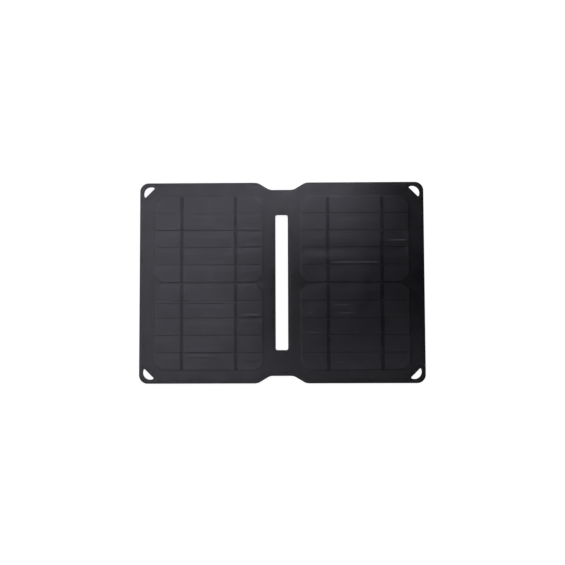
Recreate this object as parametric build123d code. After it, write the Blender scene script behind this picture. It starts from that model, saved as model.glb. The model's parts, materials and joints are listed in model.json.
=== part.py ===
from build123d import *

import math
import os

# Folding solar charger: two stiff cell panels laminated into one flexible skin, with a USB controller box.
#
# Frame: X runs across the fold, Y along it, and Z out of the cell side. The origin is under the middle of
# the fold line, at the level of the controller box's outer face. Sizes are in millimetres.
# Both panels are alike, so everything is drawn for the right panel, and the left one is its mirror image.

# ---------------------------------------------------------------- skin outline
LENGTH = 330.0  # unfolded, across the fold
HEIGHT = 233.0  # along the fold
CORNER_R = 10.0
FOLD_GAP = 0.3  # between the two halves of the skin at the fold line

NOTCH_DEPTH = 8.6  # the waist at each end of the fold
NOTCH_FLAT_HALF = 13.6  # from the fold line to the foot of the ramp
NOTCH_RAMP = 14.3  # the ramp's run along X
NOTCH_R = 12.0

SLOT_WIDTH = 14.2  # the slot on the fold line
SLOT_LENGTH = 156.4
SLOT_R = 2.0

HOLE_CHORD_FROM_CORNER = 16.5  # along the corner's diagonal, to the half-moon hole's straight side
HOLE_SAGITTA = 6.4
HOLE_ARC_R = 8.2
HOLE_TIP_R = 0.9

# ---------------------------------------------------------------- layers, from the back to the front
BOX_DEPTH = 12.0  # the controller box under the right panel
FABRIC_T = 0.4
BOARD_T = 1.0
BACKING_T = 0.5
CELL_T = 0.25
RIBBON_T = 0.12
ENCAPSULANT_T = 0.35
FILM_T = 0.2

Z_FABRIC = BOX_DEPTH
Z_BOARD = Z_FABRIC + FABRIC_T
Z_BACKING = Z_BOARD + BOARD_T
Z_CELL_TOP = Z_BACKING + BACKING_T
Z_CELL = Z_CELL_TOP - CELL_T
Z_REAR_RIBBON = Z_CELL - RIBBON_T
Z_FRONT_RIBBON = Z_CELL_TOP + RIBBON_T
Z_FILM = Z_CELL_TOP + ENCAPSULANT_T
Z_FRONT = Z_FILM + FILM_T

BOARD_MARGIN = 5.0  # soft border round the stiff board
BOARD_CORNER_CLEAR = 3.5  # from the half-moon hole's straight side to the board
BOARD_R = 4.0
PAN_LIP = 0.3  # the formed cloth stands this far outside the board at its foot
PAN_SLOPE = 45.0  # of the formed cloth's sides, in degrees

# ---------------------------------------------------------------- cells and ribbons
WAFER = 125.0  # side of the pseudo-square wafer, so the length of every strip
WAFER_DIAMETER = 165.0  # the round ingot that leaves the wafer's corners cut
STRIP_WIDTH = 19.4
STRIPS_PER_WAFER = 5
STRIP_COUNT = 2 * STRIPS_PER_WAFER
STRIP_GAP = 0.6
GROUP_GAP = 2.4
CELL_INNER_X = 22.3  # from the fold line to the cells' inner edge
CELL_X = CELL_INNER_X + WAFER / 2
POCKET_CLEAR = 0.1

RIBBON_WIDTH = 4.2
RIBBON_OFFSET = WAFER / 4  # either side of the strip's middle
RIBBON_XS = (CELL_X - RIBBON_OFFSET, CELL_X + RIBBON_OFFSET)
RIBBON_END_GAP = 1.0  # a ribbon stops this short of a strip's far edge
JOG_T = 0.12  # thickness of a ribbon where it drops through the gap

BUS_T = Z_REAR_RIBBON - Z_BACKING
BUS_WIDTH = 5.0
BUS_OUTSIDE = 1.2  # from the end strip's edge to the bus
BUS_INNER_X = 15.0
BUS_OVERRUN = 3.4  # past the outer ribbon's middle
FOLD_LEAD_Y = 93.0
COLLECTOR_T = 0.12
COLLECTOR_WIDTH = 4.0

# ---------------------------------------------------------------- controller box: shells and screws
BOX_X, BOX_Y = 86.0, 0.0
BOX_WIDTH = 42.0
BOX_LENGTH = 64.0
BOX_R = 5.0
BOX_EDGE_R = 1.2
PAD_T = 0.6
PAD_INSET = 1.5
BASE_T = 1.6
WALL_T = 1.8
Z_PAD = BOX_DEPTH - PAD_T
Z_BASE = Z_PAD - BASE_T  # the cover meets the base here
BOX_END_Y = BOX_Y - BOX_LENGTH / 2  # the end wall with the port
INNER_END_Y = BOX_END_Y + WALL_T

POST_X, POST_Y = 16.0, 27.0
POST_R = 2.5
BOSS_R = 3.0
Z_POST_FOOT = 3.4
SCREW_CLEAR = 0.05
COVER_SCREW = {"shank_r": 1.0, "head_r": 2.0, "head_t": 1.4, "head_z": 0.25, "tip_z": 8.4}
COUNTERBORE_R = 2.2
SCREW_BLIND = 0.5  # the threaded hole runs this far past the screw's tip
DRIVE_WIDTH, DRIVE_DEPTH = 0.5, 0.6
DRIVE_SHARE = 0.6  # length of a screw's cross recess, as a share of its head

SEAL_INSET = 0.4
SEAL_WIDTH = 1.0
SEAL_DEPTH = 0.6

# ---------------------------------------------------------------- controller box: circuit board and leads
PCB_WIDTH = 26.0
PCB_FRONT_Y, PCB_REAR_Y = -29.6, 26.0
PCB_CORNER_R = 1.0
PCB_T = 1.2
Z_PCB = 8.0
Z_PCB_TOP = Z_PCB + PCB_T
STANDOFF_R = 2.0
PCB_SCREW_PLACES = ((-9.5, -14.5), (9.5, 15.5))
PCB_SCREW = {"shank_r": 0.8, "head_r": 1.5, "head_t": 1.0, "head_z": Z_PCB - 1.0, "tip_z": Z_BASE + 0.6}

LEAD_X, LEAD_Y = 10.0, 22.0  # where the two leads come through, either side of the box's middle
LEAD_CORE_R = 0.45
LEAD_SLEEVE_R = 0.8
LEAD_END = 0.3  # bare end that stands out of the circuit board
LEAD_HOLE_R = 1.2  # in the stiff board
GROMMET_R = 2.45
GROMMET_HOLE_R = 2.5
GROMMET_FLANGE_R = 3.3
GROMMET_FLANGE_T = 0.5

# ---------------------------------------------------------------- controller box: USB-A port
USB_WIDTH, USB_HEIGHT = 13.1, 5.72
USB_SHEET = 0.3
USB_DEPTH = 13.8
USB_CORNER_R = 0.6
USB_MOUTH_Y = BOX_END_Y + 0.8
USB_BACK_Y = USB_MOUTH_Y + USB_DEPTH
USB_Z = Z_PCB - USB_HEIGHT / 2
USB_LEG_ALONG = (5.5, 11.5)  # from the mouth to the sleeve's legs
USB_LEG_HALF = 0.8
USB_BODY_DEPTH = 3.6
USB_BODY_CLEAR = 0.02
USB_TONGUE_WIDTH, USB_TONGUE_T = 11.1, 1.84
USB_TONGUE_BACK = 2.0  # the tongue's tip behind the mouth
USB_TONGUE_LIFT = 0.7  # under the tongue, where the plug's own tongue wall goes
Z_TONGUE = USB_Z - USB_HEIGHT / 2 + USB_SHEET + USB_TONGUE_LIFT
CONTACT_XS = (-3.5, -1.0, 1.0, 3.5)
CONTACT_WIDTH, CONTACT_T = 1.0, 0.2
CONTACT_TAIL = 0.5
CONTACT_STAGGER = 1.0  # the inner pair makes contact later
CONTACT_CLEAR = 0.03

WINDOW_CLEAR = 0.2
RECESS_DEPTH = 0.8
RECESS_X = (-15.0, 9.8)
RECESS_Z = (1.3, 9.0)
RECESS_R = 1.0

# ---------------------------------------------------------------- controller box: rubber port cover
COVER_PLATE_X = (-8.2, 9.4)
COVER_PLATE_T = 1.6
COVER_PLATE_HEIGHT = 7.2
COVER_PLATE_R = 1.5
COVER_HINGE_X = BOX_X - 9.2
COVER_HINGE_Y = BOX_END_Y - 0.4
COVER_OUTER_Y = USB_MOUTH_Y - COVER_PLATE_T
COVER_NECK_HALF = 0.4
COVER_NECK_HEIGHT = 5.2
COVER_KNUCKLE_R = 0.5
PLUG_WIDTH, PLUG_HEIGHT, PLUG_DEPTH = 11.8, 4.4, 1.2
PLUG_R = 0.8
GRIP_COUNT, GRIP_PITCH, GRIP_WIDTH, GRIP_DEPTH = 3, 0.9, 0.4, 0.5
GRIP_FROM_END = 3.0
GRIP_HEIGHT = 4.8
ANCHOR_X = (-14.8, -11.0)
ANCHOR_HEIGHT = 5.8
ANCHOR_STEM_R = 1.1
ANCHOR_BARB_R = 1.6
ANCHOR_BARB_T = 0.7
ANCHOR_GAP = 0.2  # from the fixed end to the knuckle on the hinge axis

# ---------------------------------------------------------------- controller box: parts on the circuit board
CHOKE_AT, CHOKE_SIDE, CHOKE_HEIGHT, CHOKE_CORNER = (-6.0, -7.5), 7.3, 4.2, 1.2
CHOKE_RING_R, CHOKE_CORE_R, CHOKE_RING_DEPTH = 2.9, 2.3, 0.4
CAN_PLACES, CAN_R, CAN_HEIGHT, CAN_EDGE_R = ((-7.8, 3.2), (-7.8, 10.4)), 2.5, 5.4, 0.5
CAN_FOOT_SIDE, CAN_FOOT_T = 5.4, 0.8
CHIP_AT, CHIP_SIZE, CHIP_LIFT, CHIP_EDGE = (3.5, -3.0), (3.9, 4.9, 1.6), 0.1, 0.25
CHIP_LEG_COUNT, CHIP_LEG_PITCH, CHIP_LEG_WIDTH, CHIP_LEG_REACH = 4, 1.27, 0.4, 3.0
CHIP_LEG_T, CHIP_LEG_DROP, CHIP_LEG_FOOT = 0.2, 0.9, 0.5
DIODE_AT, DIODE_SIZE, DIODE_LIFT, DIODE_EDGE = (4.0, 9.5), (4.3, 2.7, 2.2), 0.15, 0.3
DIODE_LEG_REACH, DIODE_LEG_WIDTH, DIODE_LEG_T = 2.7, 1.5, 0.2
RESISTOR_AT, RESISTOR_COUNT, RESISTOR_PITCH = (10.2, -6.5), 5, 2.9
RESISTOR_SIZE = (2.0, 1.24, 0.5)
LED_AT, LED_SIZE, LED_LENS = (8.5, -12.0), (2.0, 1.24, 0.4), (1.2, 1.2, 0.4)
PIPE_R, PIPE_FLANGE_R, PIPE_FLANGE_T, PIPE_STEM_R = 1.45, 2.2, 0.8, 1.2
PIPE_FACE_Z, PIPE_EDGE_R = 0.1, 0.3

EXTRA = 1.0  # how far a cutting tool runs past the face that it cuts
SAME_PLACE = 0.01


# ---------------------------------------------------------------- small helpers
def block(x, y, z):
    """A box from its two ends along each axis, in either order."""
    size = [abs(b - a) for a, b in (x, y, z)]
    centre = [(a + b) / 2 for a, b in (x, y, z)]
    return Pos(*centre) * Box(*size)


def around(centre, size):
    """The two ends of a length about its middle."""
    return centre - size / 2, centre + size / 2


def rod(x, y, radius, z0, z1):
    """A cylinder standing along Z."""
    return Pos(x, y, (z0 + z1) / 2) * Cylinder(radius, z1 - z0)


def rod_along_y(x, z, radius, y0, y1):
    """A cylinder lying along Y."""
    return Pos(x, (y0 + y1) / 2, z) * Rot(90, 0, 0) * Cylinder(radius, y1 - y0)


def slab(face, z0, z1):
    """A flat face in XY, extruded from z0 to z1."""
    return Pos(0, 0, z0) * extrude(face, amount=z1 - z0, dir=(0, 0, 1))


def symmetric_polygon(upper):
    """A flat face from its upper half's corners, listed against X, and their mirror images below."""
    lower = [(x, -y) for x, y in reversed(upper)]
    return make_face(Polyline(*upper, *lower, close=True))


def round_corners(face, points, radius):
    """Rounds the face's corners that stand at the given points."""
    chosen = [
        v
        for v in face.vertices()
        if any(math.hypot(v.X - x, v.Y - y) < SAME_PLACE for x, y in points)
    ]
    return fillet(chosen, radius)


def box_footprint(inset=0.0):
    """The controller box's outline, inset on every side."""
    radius = BOX_R - inset
    return Pos(BOX_X, BOX_Y) * RectangleRounded(BOX_WIDTH - 2 * inset, BOX_LENGTH - 2 * inset, radius)


def from_box(place):
    """A point given from the middle of the controller box."""
    return BOX_X + place[0], BOX_Y + place[1]


def mirrored(shapes):
    """The left panel's copies of the right panel's solids."""
    return [mirror(shape, about=Plane.YZ) for shape in shapes]


# ---------------------------------------------------------------- outlines
def half_moon(sign_y):
    """The half-moon hole in an outer corner: a round segment with its straight side across the corner."""
    corner = Vector(LENGTH / 2, sign_y * HEIGHT / 2)
    inward = Vector(-1, -sign_y) / math.sqrt(2)
    chord = corner + inward * HOLE_CHORD_FROM_CORNER
    centre = chord + inward * (HOLE_ARC_R - HOLE_SAGITTA)
    side = 4 * HOLE_ARC_R
    angle = math.degrees(math.atan2(inward.Y, inward.X))
    outside_chord = Pos(chord.X, chord.Y) * Rot(0, 0, angle) * Pos(-side / 2, 0) * Rectangle(side, side)
    segment = (Pos(centre.X, centre.Y) * Circle(HOLE_ARC_R)) & outside_chord
    return fillet(segment.vertices(), HOLE_TIP_R)


def skin_outline():
    """The right half of the skin: waisted at the fold, with half the slot and two half-moon holes."""
    x0, x1 = FOLD_GAP / 2, LENGTH / 2
    ramp_foot, ramp_top = NOTCH_FLAT_HALF, NOTCH_FLAT_HALF + NOTCH_RAMP
    y_notch, y_edge = HEIGHT / 2 - NOTCH_DEPTH, HEIGHT / 2
    face = symmetric_polygon([(x1, y_edge), (ramp_top, y_edge), (ramp_foot, y_notch), (x0, y_notch)])
    face = round_corners(face, [(x1, y_edge), (x1, -y_edge)], CORNER_R)
    ramp_ends = [(x, s * y) for x, y in ((ramp_top, y_edge), (ramp_foot, y_notch)) for s in (1, -1)]
    face = round_corners(face, ramp_ends, NOTCH_R)
    face -= RectangleRounded(SLOT_WIDTH, SLOT_LENGTH, SLOT_R)
    for sign in (1, -1):
        face -= half_moon(sign)
    return face


def board_outline():
    """The stiff board: a rectangle whose corners are cut clear of the half-moon holes and the waist."""
    x0 = SLOT_WIDTH / 2 + BOARD_MARGIN
    x1, y1 = LENGTH / 2 - BOARD_MARGIN, HEIGHT / 2 - BOARD_MARGIN
    hole_cut = LENGTH / 2 + HEIGHT / 2 - math.sqrt(2) * (HOLE_CHORD_FROM_CORNER + BOARD_CORNER_CLEAR)
    slope = NOTCH_DEPTH / NOTCH_RAMP
    ramp_length = math.hypot(NOTCH_DEPTH, NOTCH_RAMP)
    ramp_x = NOTCH_FLAT_HALF + BOARD_MARGIN * NOTCH_DEPTH / ramp_length
    ramp_y = HEIGHT / 2 - NOTCH_DEPTH - BOARD_MARGIN * NOTCH_RAMP / ramp_length
    waist_low = (x0, ramp_y - (ramp_x - x0) * slope)
    waist_high = (ramp_x + (y1 - ramp_y) / slope, y1)
    face = symmetric_polygon([(x1, hole_cut - x1), (hole_cut - y1, y1), waist_high, waist_low])
    return fillet(face.vertices(), BOARD_R)


# ---------------------------------------------------------------- cells and ribbons
def strip_span(index):
    """(low, high) along Y of a cell strip, counted from the top."""
    group, place = divmod(index, STRIPS_PER_WAFER)
    group_height = STRIPS_PER_WAFER * STRIP_WIDTH + (STRIPS_PER_WAFER - 1) * STRIP_GAP
    top = group_height + GROUP_GAP / 2 if group == 0 else -GROUP_GAP / 2
    high = top - place * (STRIP_WIDTH + STRIP_GAP)
    return high - STRIP_WIDTH, high


def strip_face(index, grow=0.0):
    """One strip of a pseudo-square wafer, whose round corners are on the wafer's two end strips."""
    low, high = strip_span(index)
    face = Pos(CELL_X, (low + high) / 2) * Rectangle(WAFER + 2 * grow, STRIP_WIDTH + 2 * grow)
    place = index % STRIPS_PER_WAFER
    if place == 0:
        face &= Pos(CELL_X, high - WAFER / 2) * Circle(WAFER_DIAMETER / 2 + grow)
    elif place == STRIPS_PER_WAFER - 1:
        face &= Pos(CELL_X, low + WAFER / 2) * Circle(WAFER_DIAMETER / 2 + grow)
    return face


def cell_strips():
    return [slab(strip_face(i), Z_CELL, Z_CELL_TOP) for i in range(STRIP_COUNT)]


def z_shaped_ribbon(x, front_end, jog_y, rear_end, grow=0.0):
    """A ribbon over a strip's front, down through a gap and on under the next strip's rear."""
    across = around(x, RIBBON_WIDTH + 2 * grow)
    jog = around(jog_y, JOG_T + 2 * grow)
    front = block(across, (jog[0], front_end + grow), (Z_CELL_TOP, Z_FRONT_RIBBON))
    down = block(across, jog, (Z_REAR_RIBBON, Z_FRONT_RIBBON))
    rear = block(across, (rear_end - grow, jog[1]), (Z_REAR_RIBBON, Z_CELL))
    return front + down + rear


def tab_ribbons(grow=0.0):
    """Every ribbon of one panel's string: two join each strip's front to the next one's rear or to a bus."""
    spans = [strip_span(i) for i in range(STRIP_COUNT)]
    bus_far = spans[0][1] + BUS_OUTSIDE + BUS_WIDTH
    found = []
    for x in RIBBON_XS:
        first = (spans[0][0] + RIBBON_END_GAP - grow, bus_far + grow)
        found.append(block(around(x, RIBBON_WIDTH + 2 * grow), first, (Z_REAR_RIBBON, Z_CELL)))
        for upper, lower in zip(spans, spans[1:]):
            jog_y = (upper[0] + lower[1]) / 2
            found.append(
                z_shaped_ribbon(x, upper[1] - RIBBON_END_GAP, jog_y, lower[0] + RIBBON_END_GAP, grow)
            )
        last = spans[-1]
        jog_y = last[0] - STRIP_GAP / 2
        found.append(z_shaped_ribbon(x, last[1] - RIBBON_END_GAP, jog_y, -bus_far, grow))
    return found


def bus_ribbons(grow=0.0, z_low=Z_BACKING):
    """The bus at each end of the string, with a branch down to the fold lead."""
    edge = strip_span(0)[1] + BUS_OUTSIDE
    far = edge + BUS_WIDTH + grow
    x_far = RIBBON_XS[1] + BUS_OVERRUN + grow
    found = []
    for sign in (1, -1):
        run = block((BUS_INNER_X - grow, x_far), (sign * (edge - grow), sign * far), (z_low, Z_REAR_RIBBON))
        branch_end = FOLD_LEAD_Y - BUS_WIDTH / 2 - grow
        branch_x = (BUS_INNER_X - grow, BUS_INNER_X + BUS_WIDTH + grow)
        found.append(run + block(branch_x, (sign * branch_end, sign * far), (z_low, Z_REAR_RIBBON)))
    return found


def fold_leads(grow=0.0, z_low=Z_BACKING, x_start=FOLD_GAP / 2):
    """Flat flexible conductors, one in each web, up to the fold line."""
    return [
        block(
            (x_start, BUS_INNER_X),
            around(sign * FOLD_LEAD_Y, BUS_WIDTH + 2 * grow),
            (z_low, Z_REAR_RIBBON),
        )
        for sign in (1, -1)
    ]


def collector_ribbons(grow=0.0, z_low=Z_BACKING):
    """Ribbons behind the cells, from each bus to its lead over the controller box."""
    bus_edge = strip_span(0)[1] + BUS_OUTSIDE
    found = []
    for sign, x in ((1, BOX_X - LEAD_X), (-1, BOX_X + LEAD_X)):
        inner_end = BOX_Y + LEAD_Y - sign * (COLLECTOR_WIDTH / 2 + grow)
        across = around(x, COLLECTOR_WIDTH + 2 * grow)
        found.append(block(across, (sign * bus_edge, inner_end), (z_low, Z_BACKING + COLLECTOR_T + grow)))
    return found


# ---------------------------------------------------------------- laminated layers
def backing_sheet(with_collectors):
    """The black sheet behind the cells. Cells sit in its front, and the buses lie in its rear face."""
    sheet = slab(skin_outline(), Z_BACKING, Z_CELL_TOP)
    below = Z_BACKING - EXTRA
    pockets = [slab(strip_face(i, POCKET_CLEAR), Z_CELL, Z_CELL_TOP + EXTRA) for i in range(STRIP_COUNT)]
    pockets += tab_ribbons(POCKET_CLEAR)
    pockets += bus_ribbons(POCKET_CLEAR, below)
    pockets += fold_leads(POCKET_CLEAR, below, 0)
    if with_collectors:
        pockets += collector_ribbons(POCKET_CLEAR, below)
    return sheet - pockets


def front_encapsulant():
    """The clear sheet over the cells, grooved for the ribbons on their fronts."""
    layer = block((0, LENGTH), (-HEIGHT, HEIGHT), (Z_CELL_TOP, Z_FILM))
    grooves = [
        ribbon & layer for ribbon in tab_ribbons(POCKET_CLEAR) if ribbon.bounding_box().max.Z > Z_CELL_TOP
    ]
    return slab(skin_outline(), Z_CELL_TOP, Z_FILM) - grooves


def front_film():
    return slab(skin_outline(), Z_FILM, Z_FRONT)


def lead_rods(radius, z0, z1):
    """A rod on each of the two lines that the leads follow."""
    return [rod(*from_box((side * LEAD_X, LEAD_Y)), radius, z0, z1) for side in (1, -1)]


def stiffener_board(with_holes):
    board = slab(board_outline(), Z_BOARD, Z_BACKING)
    if with_holes:
        board -= lead_rods(LEAD_HOLE_R, Z_BOARD - EXTRA, Z_BACKING + EXTRA)
    return board


def rear_fabric(with_holes):
    """The cloth on the back, formed round the board into a shallow pan."""
    border = slab(skin_outline(), Z_BACKING - FABRIC_T, Z_BACKING)
    foot = offset(board_outline(), PAN_LIP)
    pan = Pos(0, 0, Z_FABRIC) * extrude(foot, amount=BOARD_T, dir=(0, 0, 1), taper=-PAN_SLOPE)
    cloth = border + pan - slab(board_outline(), Z_BOARD, Z_BACKING + EXTRA)
    if with_holes:
        cloth -= lead_rods(GROMMET_HOLE_R, Z_FABRIC - EXTRA, Z_BOARD + EXTRA)
    return cloth


# ---------------------------------------------------------------- controller box: shells, seals and screws
def posts():
    return [from_box((sx * POST_X, sy * POST_Y)) for sx in (1, -1) for sy in (1, -1)]


def box_adhesive_pad():
    pad = slab(box_footprint(PAD_INSET), Z_PAD, BOX_DEPTH)
    return pad - lead_rods(GROMMET_HOLE_R, Z_PAD - EXTRA, BOX_DEPTH + EXTRA)


def box_seal():
    ring = box_footprint(SEAL_INSET) - box_footprint(SEAL_INSET + SEAL_WIDTH)
    return slab(ring, Z_BASE, Z_BASE + SEAL_DEPTH)


def box_base():
    """The plate bonded to the cloth, with posts for the cover screws and stand-offs for the circuit board."""
    base = slab(box_footprint(), Z_BASE, Z_PAD)
    base += [rod(x, y, POST_R, Z_POST_FOOT, Z_BASE) for x, y in posts()]
    base += [rod(*from_box(place), STANDOFF_R, Z_PCB_TOP, Z_BASE) for place in PCB_SCREW_PLACES]
    hole_r = COVER_SCREW["shank_r"] + SCREW_CLEAR
    hole_z = (Z_POST_FOOT - EXTRA, COVER_SCREW["tip_z"] + SCREW_BLIND)
    screw_holes = [rod(x, y, hole_r, *hole_z) for x, y in posts()]
    screw_holes += [
        rod(*from_box(place), PCB_SCREW["shank_r"] + SCREW_CLEAR, Z_PCB, PCB_SCREW["tip_z"] + SCREW_CLEAR)
        for place in PCB_SCREW_PLACES
    ]
    return base - screw_holes - lead_rods(GROMMET_HOLE_R, Z_BASE - EXTRA, Z_PAD + EXTRA) - box_seal()


def port_recess():
    """The shallow seat round the port, where the rubber cover lies."""
    x = (BOX_X + RECESS_X[0], BOX_X + RECESS_X[1])
    seat = block(x, (BOX_END_Y - EXTRA, BOX_END_Y + RECESS_DEPTH), RECESS_Z)
    return fillet(seat.edges().filter_by(Axis.Y), RECESS_R)


def port_window():
    width, height = USB_WIDTH + 2 * WINDOW_CLEAR, USB_HEIGHT + 2 * WINDOW_CLEAR
    return block(around(BOX_X, width), (BOX_END_Y - EXTRA, INNER_END_Y + EXTRA), around(USB_Z, height))


def box_cover():
    """The outer shell: a tray with counterbored screw bosses, the port's window and its recess."""
    cover = slab(box_footprint(), 0, Z_BASE)
    cover = fillet(cover.faces().sort_by(Axis.Z)[0].edges(), BOX_EDGE_R)
    cover -= slab(box_footprint(WALL_T), WALL_T, Z_BASE + EXTRA)
    boss_room = slab(box_footprint(WALL_T), WALL_T, Z_POST_FOOT)
    cover += [rod(x, y, BOSS_R, WALL_T, Z_POST_FOOT) & boss_room for x, y in posts()]
    seat_z = COVER_SCREW["head_z"] + COVER_SCREW["head_t"]
    tools = [rod(x, y, COUNTERBORE_R, -EXTRA, seat_z) for x, y in posts()]
    tools += [rod(x, y, COVER_SCREW["shank_r"] + 2 * SCREW_CLEAR, 0, Z_POST_FOOT + EXTRA) for x, y in posts()]
    tools += [port_recess(), port_window()]
    tools.append(
        rod_along_y(anchor_x(), USB_Z, ANCHOR_STEM_R + SCREW_CLEAR, BOX_END_Y - EXTRA, INNER_END_Y + EXTRA)
    )
    tools.append(rod(*from_box(LED_AT), PIPE_R + SCREW_CLEAR, -EXTRA, WALL_T + EXTRA))
    return cover - tools


def cross_headed_screw(x, y, shank_r, head_r, head_t, head_z, tip_z):
    """A small screw with its head down, a rounded head edge and a cross recess."""
    head = rod(x, y, head_r, head_z, head_z + head_t)
    head = fillet(head.edges().sort_by(Axis.Z)[0], head_t / 3)
    recess_z = (head_z - EXTRA, head_z + DRIVE_DEPTH)
    long, short = 2 * head_r * DRIVE_SHARE, DRIVE_WIDTH
    cross = [
        block(around(x, long), around(y, short), recess_z),
        block(around(x, short), around(y, long), recess_z),
    ]
    return head + rod(x, y, shank_r, head_z + head_t, tip_z) - cross


def cover_screws():
    return [cross_headed_screw(x, y, **COVER_SCREW) for x, y in posts()]


def circuit_board_screws():
    return [cross_headed_screw(*from_box(place), **PCB_SCREW) for place in PCB_SCREW_PLACES]


# ---------------------------------------------------------------- controller box: circuit board and leads
def circuit_board():
    y = (BOX_Y + PCB_FRONT_Y, BOX_Y + PCB_REAR_Y)
    board = block(around(BOX_X, PCB_WIDTH), y, (Z_PCB, Z_PCB_TOP))
    board = fillet(board.edges().filter_by(Axis.Z), PCB_CORNER_R)
    through = (Z_PCB - EXTRA, Z_PCB_TOP + EXTRA)
    screw_hole_r = PCB_SCREW["shank_r"] + SCREW_CLEAR
    holes = [rod(*from_box(place), screw_hole_r, *through) for place in PCB_SCREW_PLACES]
    holes += lead_rods(LEAD_CORE_R + SCREW_CLEAR, *through)
    for x, y in usb_legs():
        leg_slot = (2 * USB_SHEET, 2 * USB_LEG_HALF + USB_SHEET)
        holes.append(block(around(x, leg_slot[0]), around(y, leg_slot[1]), through))
    for x in CONTACT_XS:
        tail_hole = CONTACT_TAIL + CONTACT_T
        tail_y = contact_back_y() - CONTACT_TAIL / 2
        holes.append(block(around(BOX_X + x, tail_hole), around(tail_y, tail_hole), through))
    return board - holes


def lead(side):
    """One insulated lead, from its collector ribbon behind the cells down to the circuit board."""
    x, y = from_box((side * LEAD_X, LEAD_Y))
    core = rod(x, y, LEAD_CORE_R, Z_PCB - LEAD_END, Z_BACKING)
    return core + rod(x, y, LEAD_SLEEVE_R, Z_PCB_TOP + SCREW_CLEAR, Z_BACKING - LEAD_END)


def lead_grommets():
    """Rubber seals that close the two lead holes in the base."""
    found = []
    for side in (1, -1):
        x, y = from_box((side * LEAD_X, LEAD_Y))
        body = rod(x, y, GROMMET_R, Z_BASE, Z_BOARD)
        body += rod(x, y, GROMMET_FLANGE_R, Z_BASE - GROMMET_FLANGE_T, Z_BASE)
        found.append(body - rod(x, y, LEAD_SLEEVE_R, Z_BASE - EXTRA, Z_BOARD + EXTRA))
    return found


# ---------------------------------------------------------------- controller box: USB-A port
def usb_legs():
    """(x, y) of the sleeve's four legs."""
    offset_x = USB_WIDTH / 2 - USB_SHEET / 2
    return [(BOX_X + s * offset_x, USB_MOUTH_Y + along) for s in (1, -1) for along in USB_LEG_ALONG]


def usb_shell():
    """The port's folded steel sleeve, with four legs through the circuit board."""
    outer = block(around(BOX_X, USB_WIDTH), (USB_MOUTH_Y, USB_BACK_Y), around(USB_Z, USB_HEIGHT))
    inner = block(
        around(BOX_X, USB_WIDTH - 2 * USB_SHEET),
        (USB_MOUTH_Y - EXTRA, USB_BACK_Y + EXTRA),
        around(USB_Z, USB_HEIGHT - 2 * USB_SHEET),
    )
    shell = fillet(outer.edges().filter_by(Axis.Y), USB_CORNER_R)
    shell -= fillet(inner.edges().filter_by(Axis.Y), USB_CORNER_R - USB_SHEET)
    leg_z = (Z_PCB - EXTRA, Z_PCB_TOP + USB_SHEET)
    for x, y in usb_legs():
        shell += block(around(x, USB_SHEET), around(y, 2 * USB_LEG_HALF), leg_z)
    return shell


def contact_back_y():
    return USB_BACK_Y + CONTACT_TAIL + CONTACT_T


def usb_contact(x, grow=0.0):
    """One contact: a strip along the tongue, and a tail that turns up through the circuit board."""
    stagger = CONTACT_STAGGER if x in CONTACT_XS[1:3] else 0.0
    front_y = USB_MOUTH_Y + USB_TONGUE_BACK + CONTACT_TAIL + stagger
    z = Z_TONGUE + USB_TONGUE_T - CONTACT_T
    back_y = contact_back_y()
    strip = block(around(BOX_X + x, CONTACT_WIDTH + 2 * grow), (front_y, back_y), (z, z + CONTACT_T + grow))
    tail_z = (z, Z_PCB_TOP + USB_SHEET)
    return strip + block(around(BOX_X + x, CONTACT_TAIL), (back_y - CONTACT_TAIL, back_y), tail_z)


def usb_insulator():
    """The moulded block at the back of the port, with its tongue."""
    inset = 2 * (USB_SHEET + USB_BODY_CLEAR)
    width, height = USB_WIDTH - inset, USB_HEIGHT - inset
    body_front = USB_BACK_Y - USB_BODY_DEPTH
    body = block(around(BOX_X, width), (body_front, USB_BACK_Y), around(USB_Z, height))
    body = fillet(body.edges().filter_by(Axis.Y), USB_CORNER_R - USB_SHEET)
    tongue_y = (USB_MOUTH_Y + USB_TONGUE_BACK, body_front)
    tongue = block(around(BOX_X, USB_TONGUE_WIDTH), tongue_y, (Z_TONGUE, Z_TONGUE + USB_TONGUE_T))
    tongue = chamfer(tongue.faces().sort_by(Axis.Y)[0].edges(), USB_SHEET)
    return body + tongue - [usb_contact(x, CONTACT_CLEAR) for x in CONTACT_XS]


# ---------------------------------------------------------------- controller box: parts on the circuit board
def on_board(place, size, lift=0.0):
    """A block of (length, width, height) on the underside of the circuit board."""
    x, y = from_box(place)
    return block(around(x, size[0]), around(y, size[1]), (Z_PCB - size[2], Z_PCB - lift))


def inductor():
    """A shielded power choke: a ferrite block with cut corners and a round core."""
    body = on_board(CHOKE_AT, (CHOKE_SIDE, CHOKE_SIDE, CHOKE_HEIGHT))
    body = chamfer(body.edges().filter_by(Axis.Z), CHOKE_CORNER)
    x, y = from_box(CHOKE_AT)
    z = (Z_PCB - CHOKE_HEIGHT - EXTRA, Z_PCB - CHOKE_HEIGHT + CHOKE_RING_DEPTH)
    return body - (rod(x, y, CHOKE_RING_R, *z) - rod(x, y, CHOKE_CORE_R, *z))


def capacitors():
    """Two round electrolytic cans, each on a square foot."""
    found = []
    for place in CAN_PLACES:
        can = rod(*from_box(place), CAN_R, Z_PCB - CAN_HEIGHT, Z_PCB - CAN_FOOT_T)
        can = fillet(can.edges().sort_by(Axis.Z)[0], CAN_EDGE_R)
        found.append(can + on_board(place, (CAN_FOOT_SIDE, CAN_FOOT_SIDE, CAN_FOOT_T)))
    return found


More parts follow.
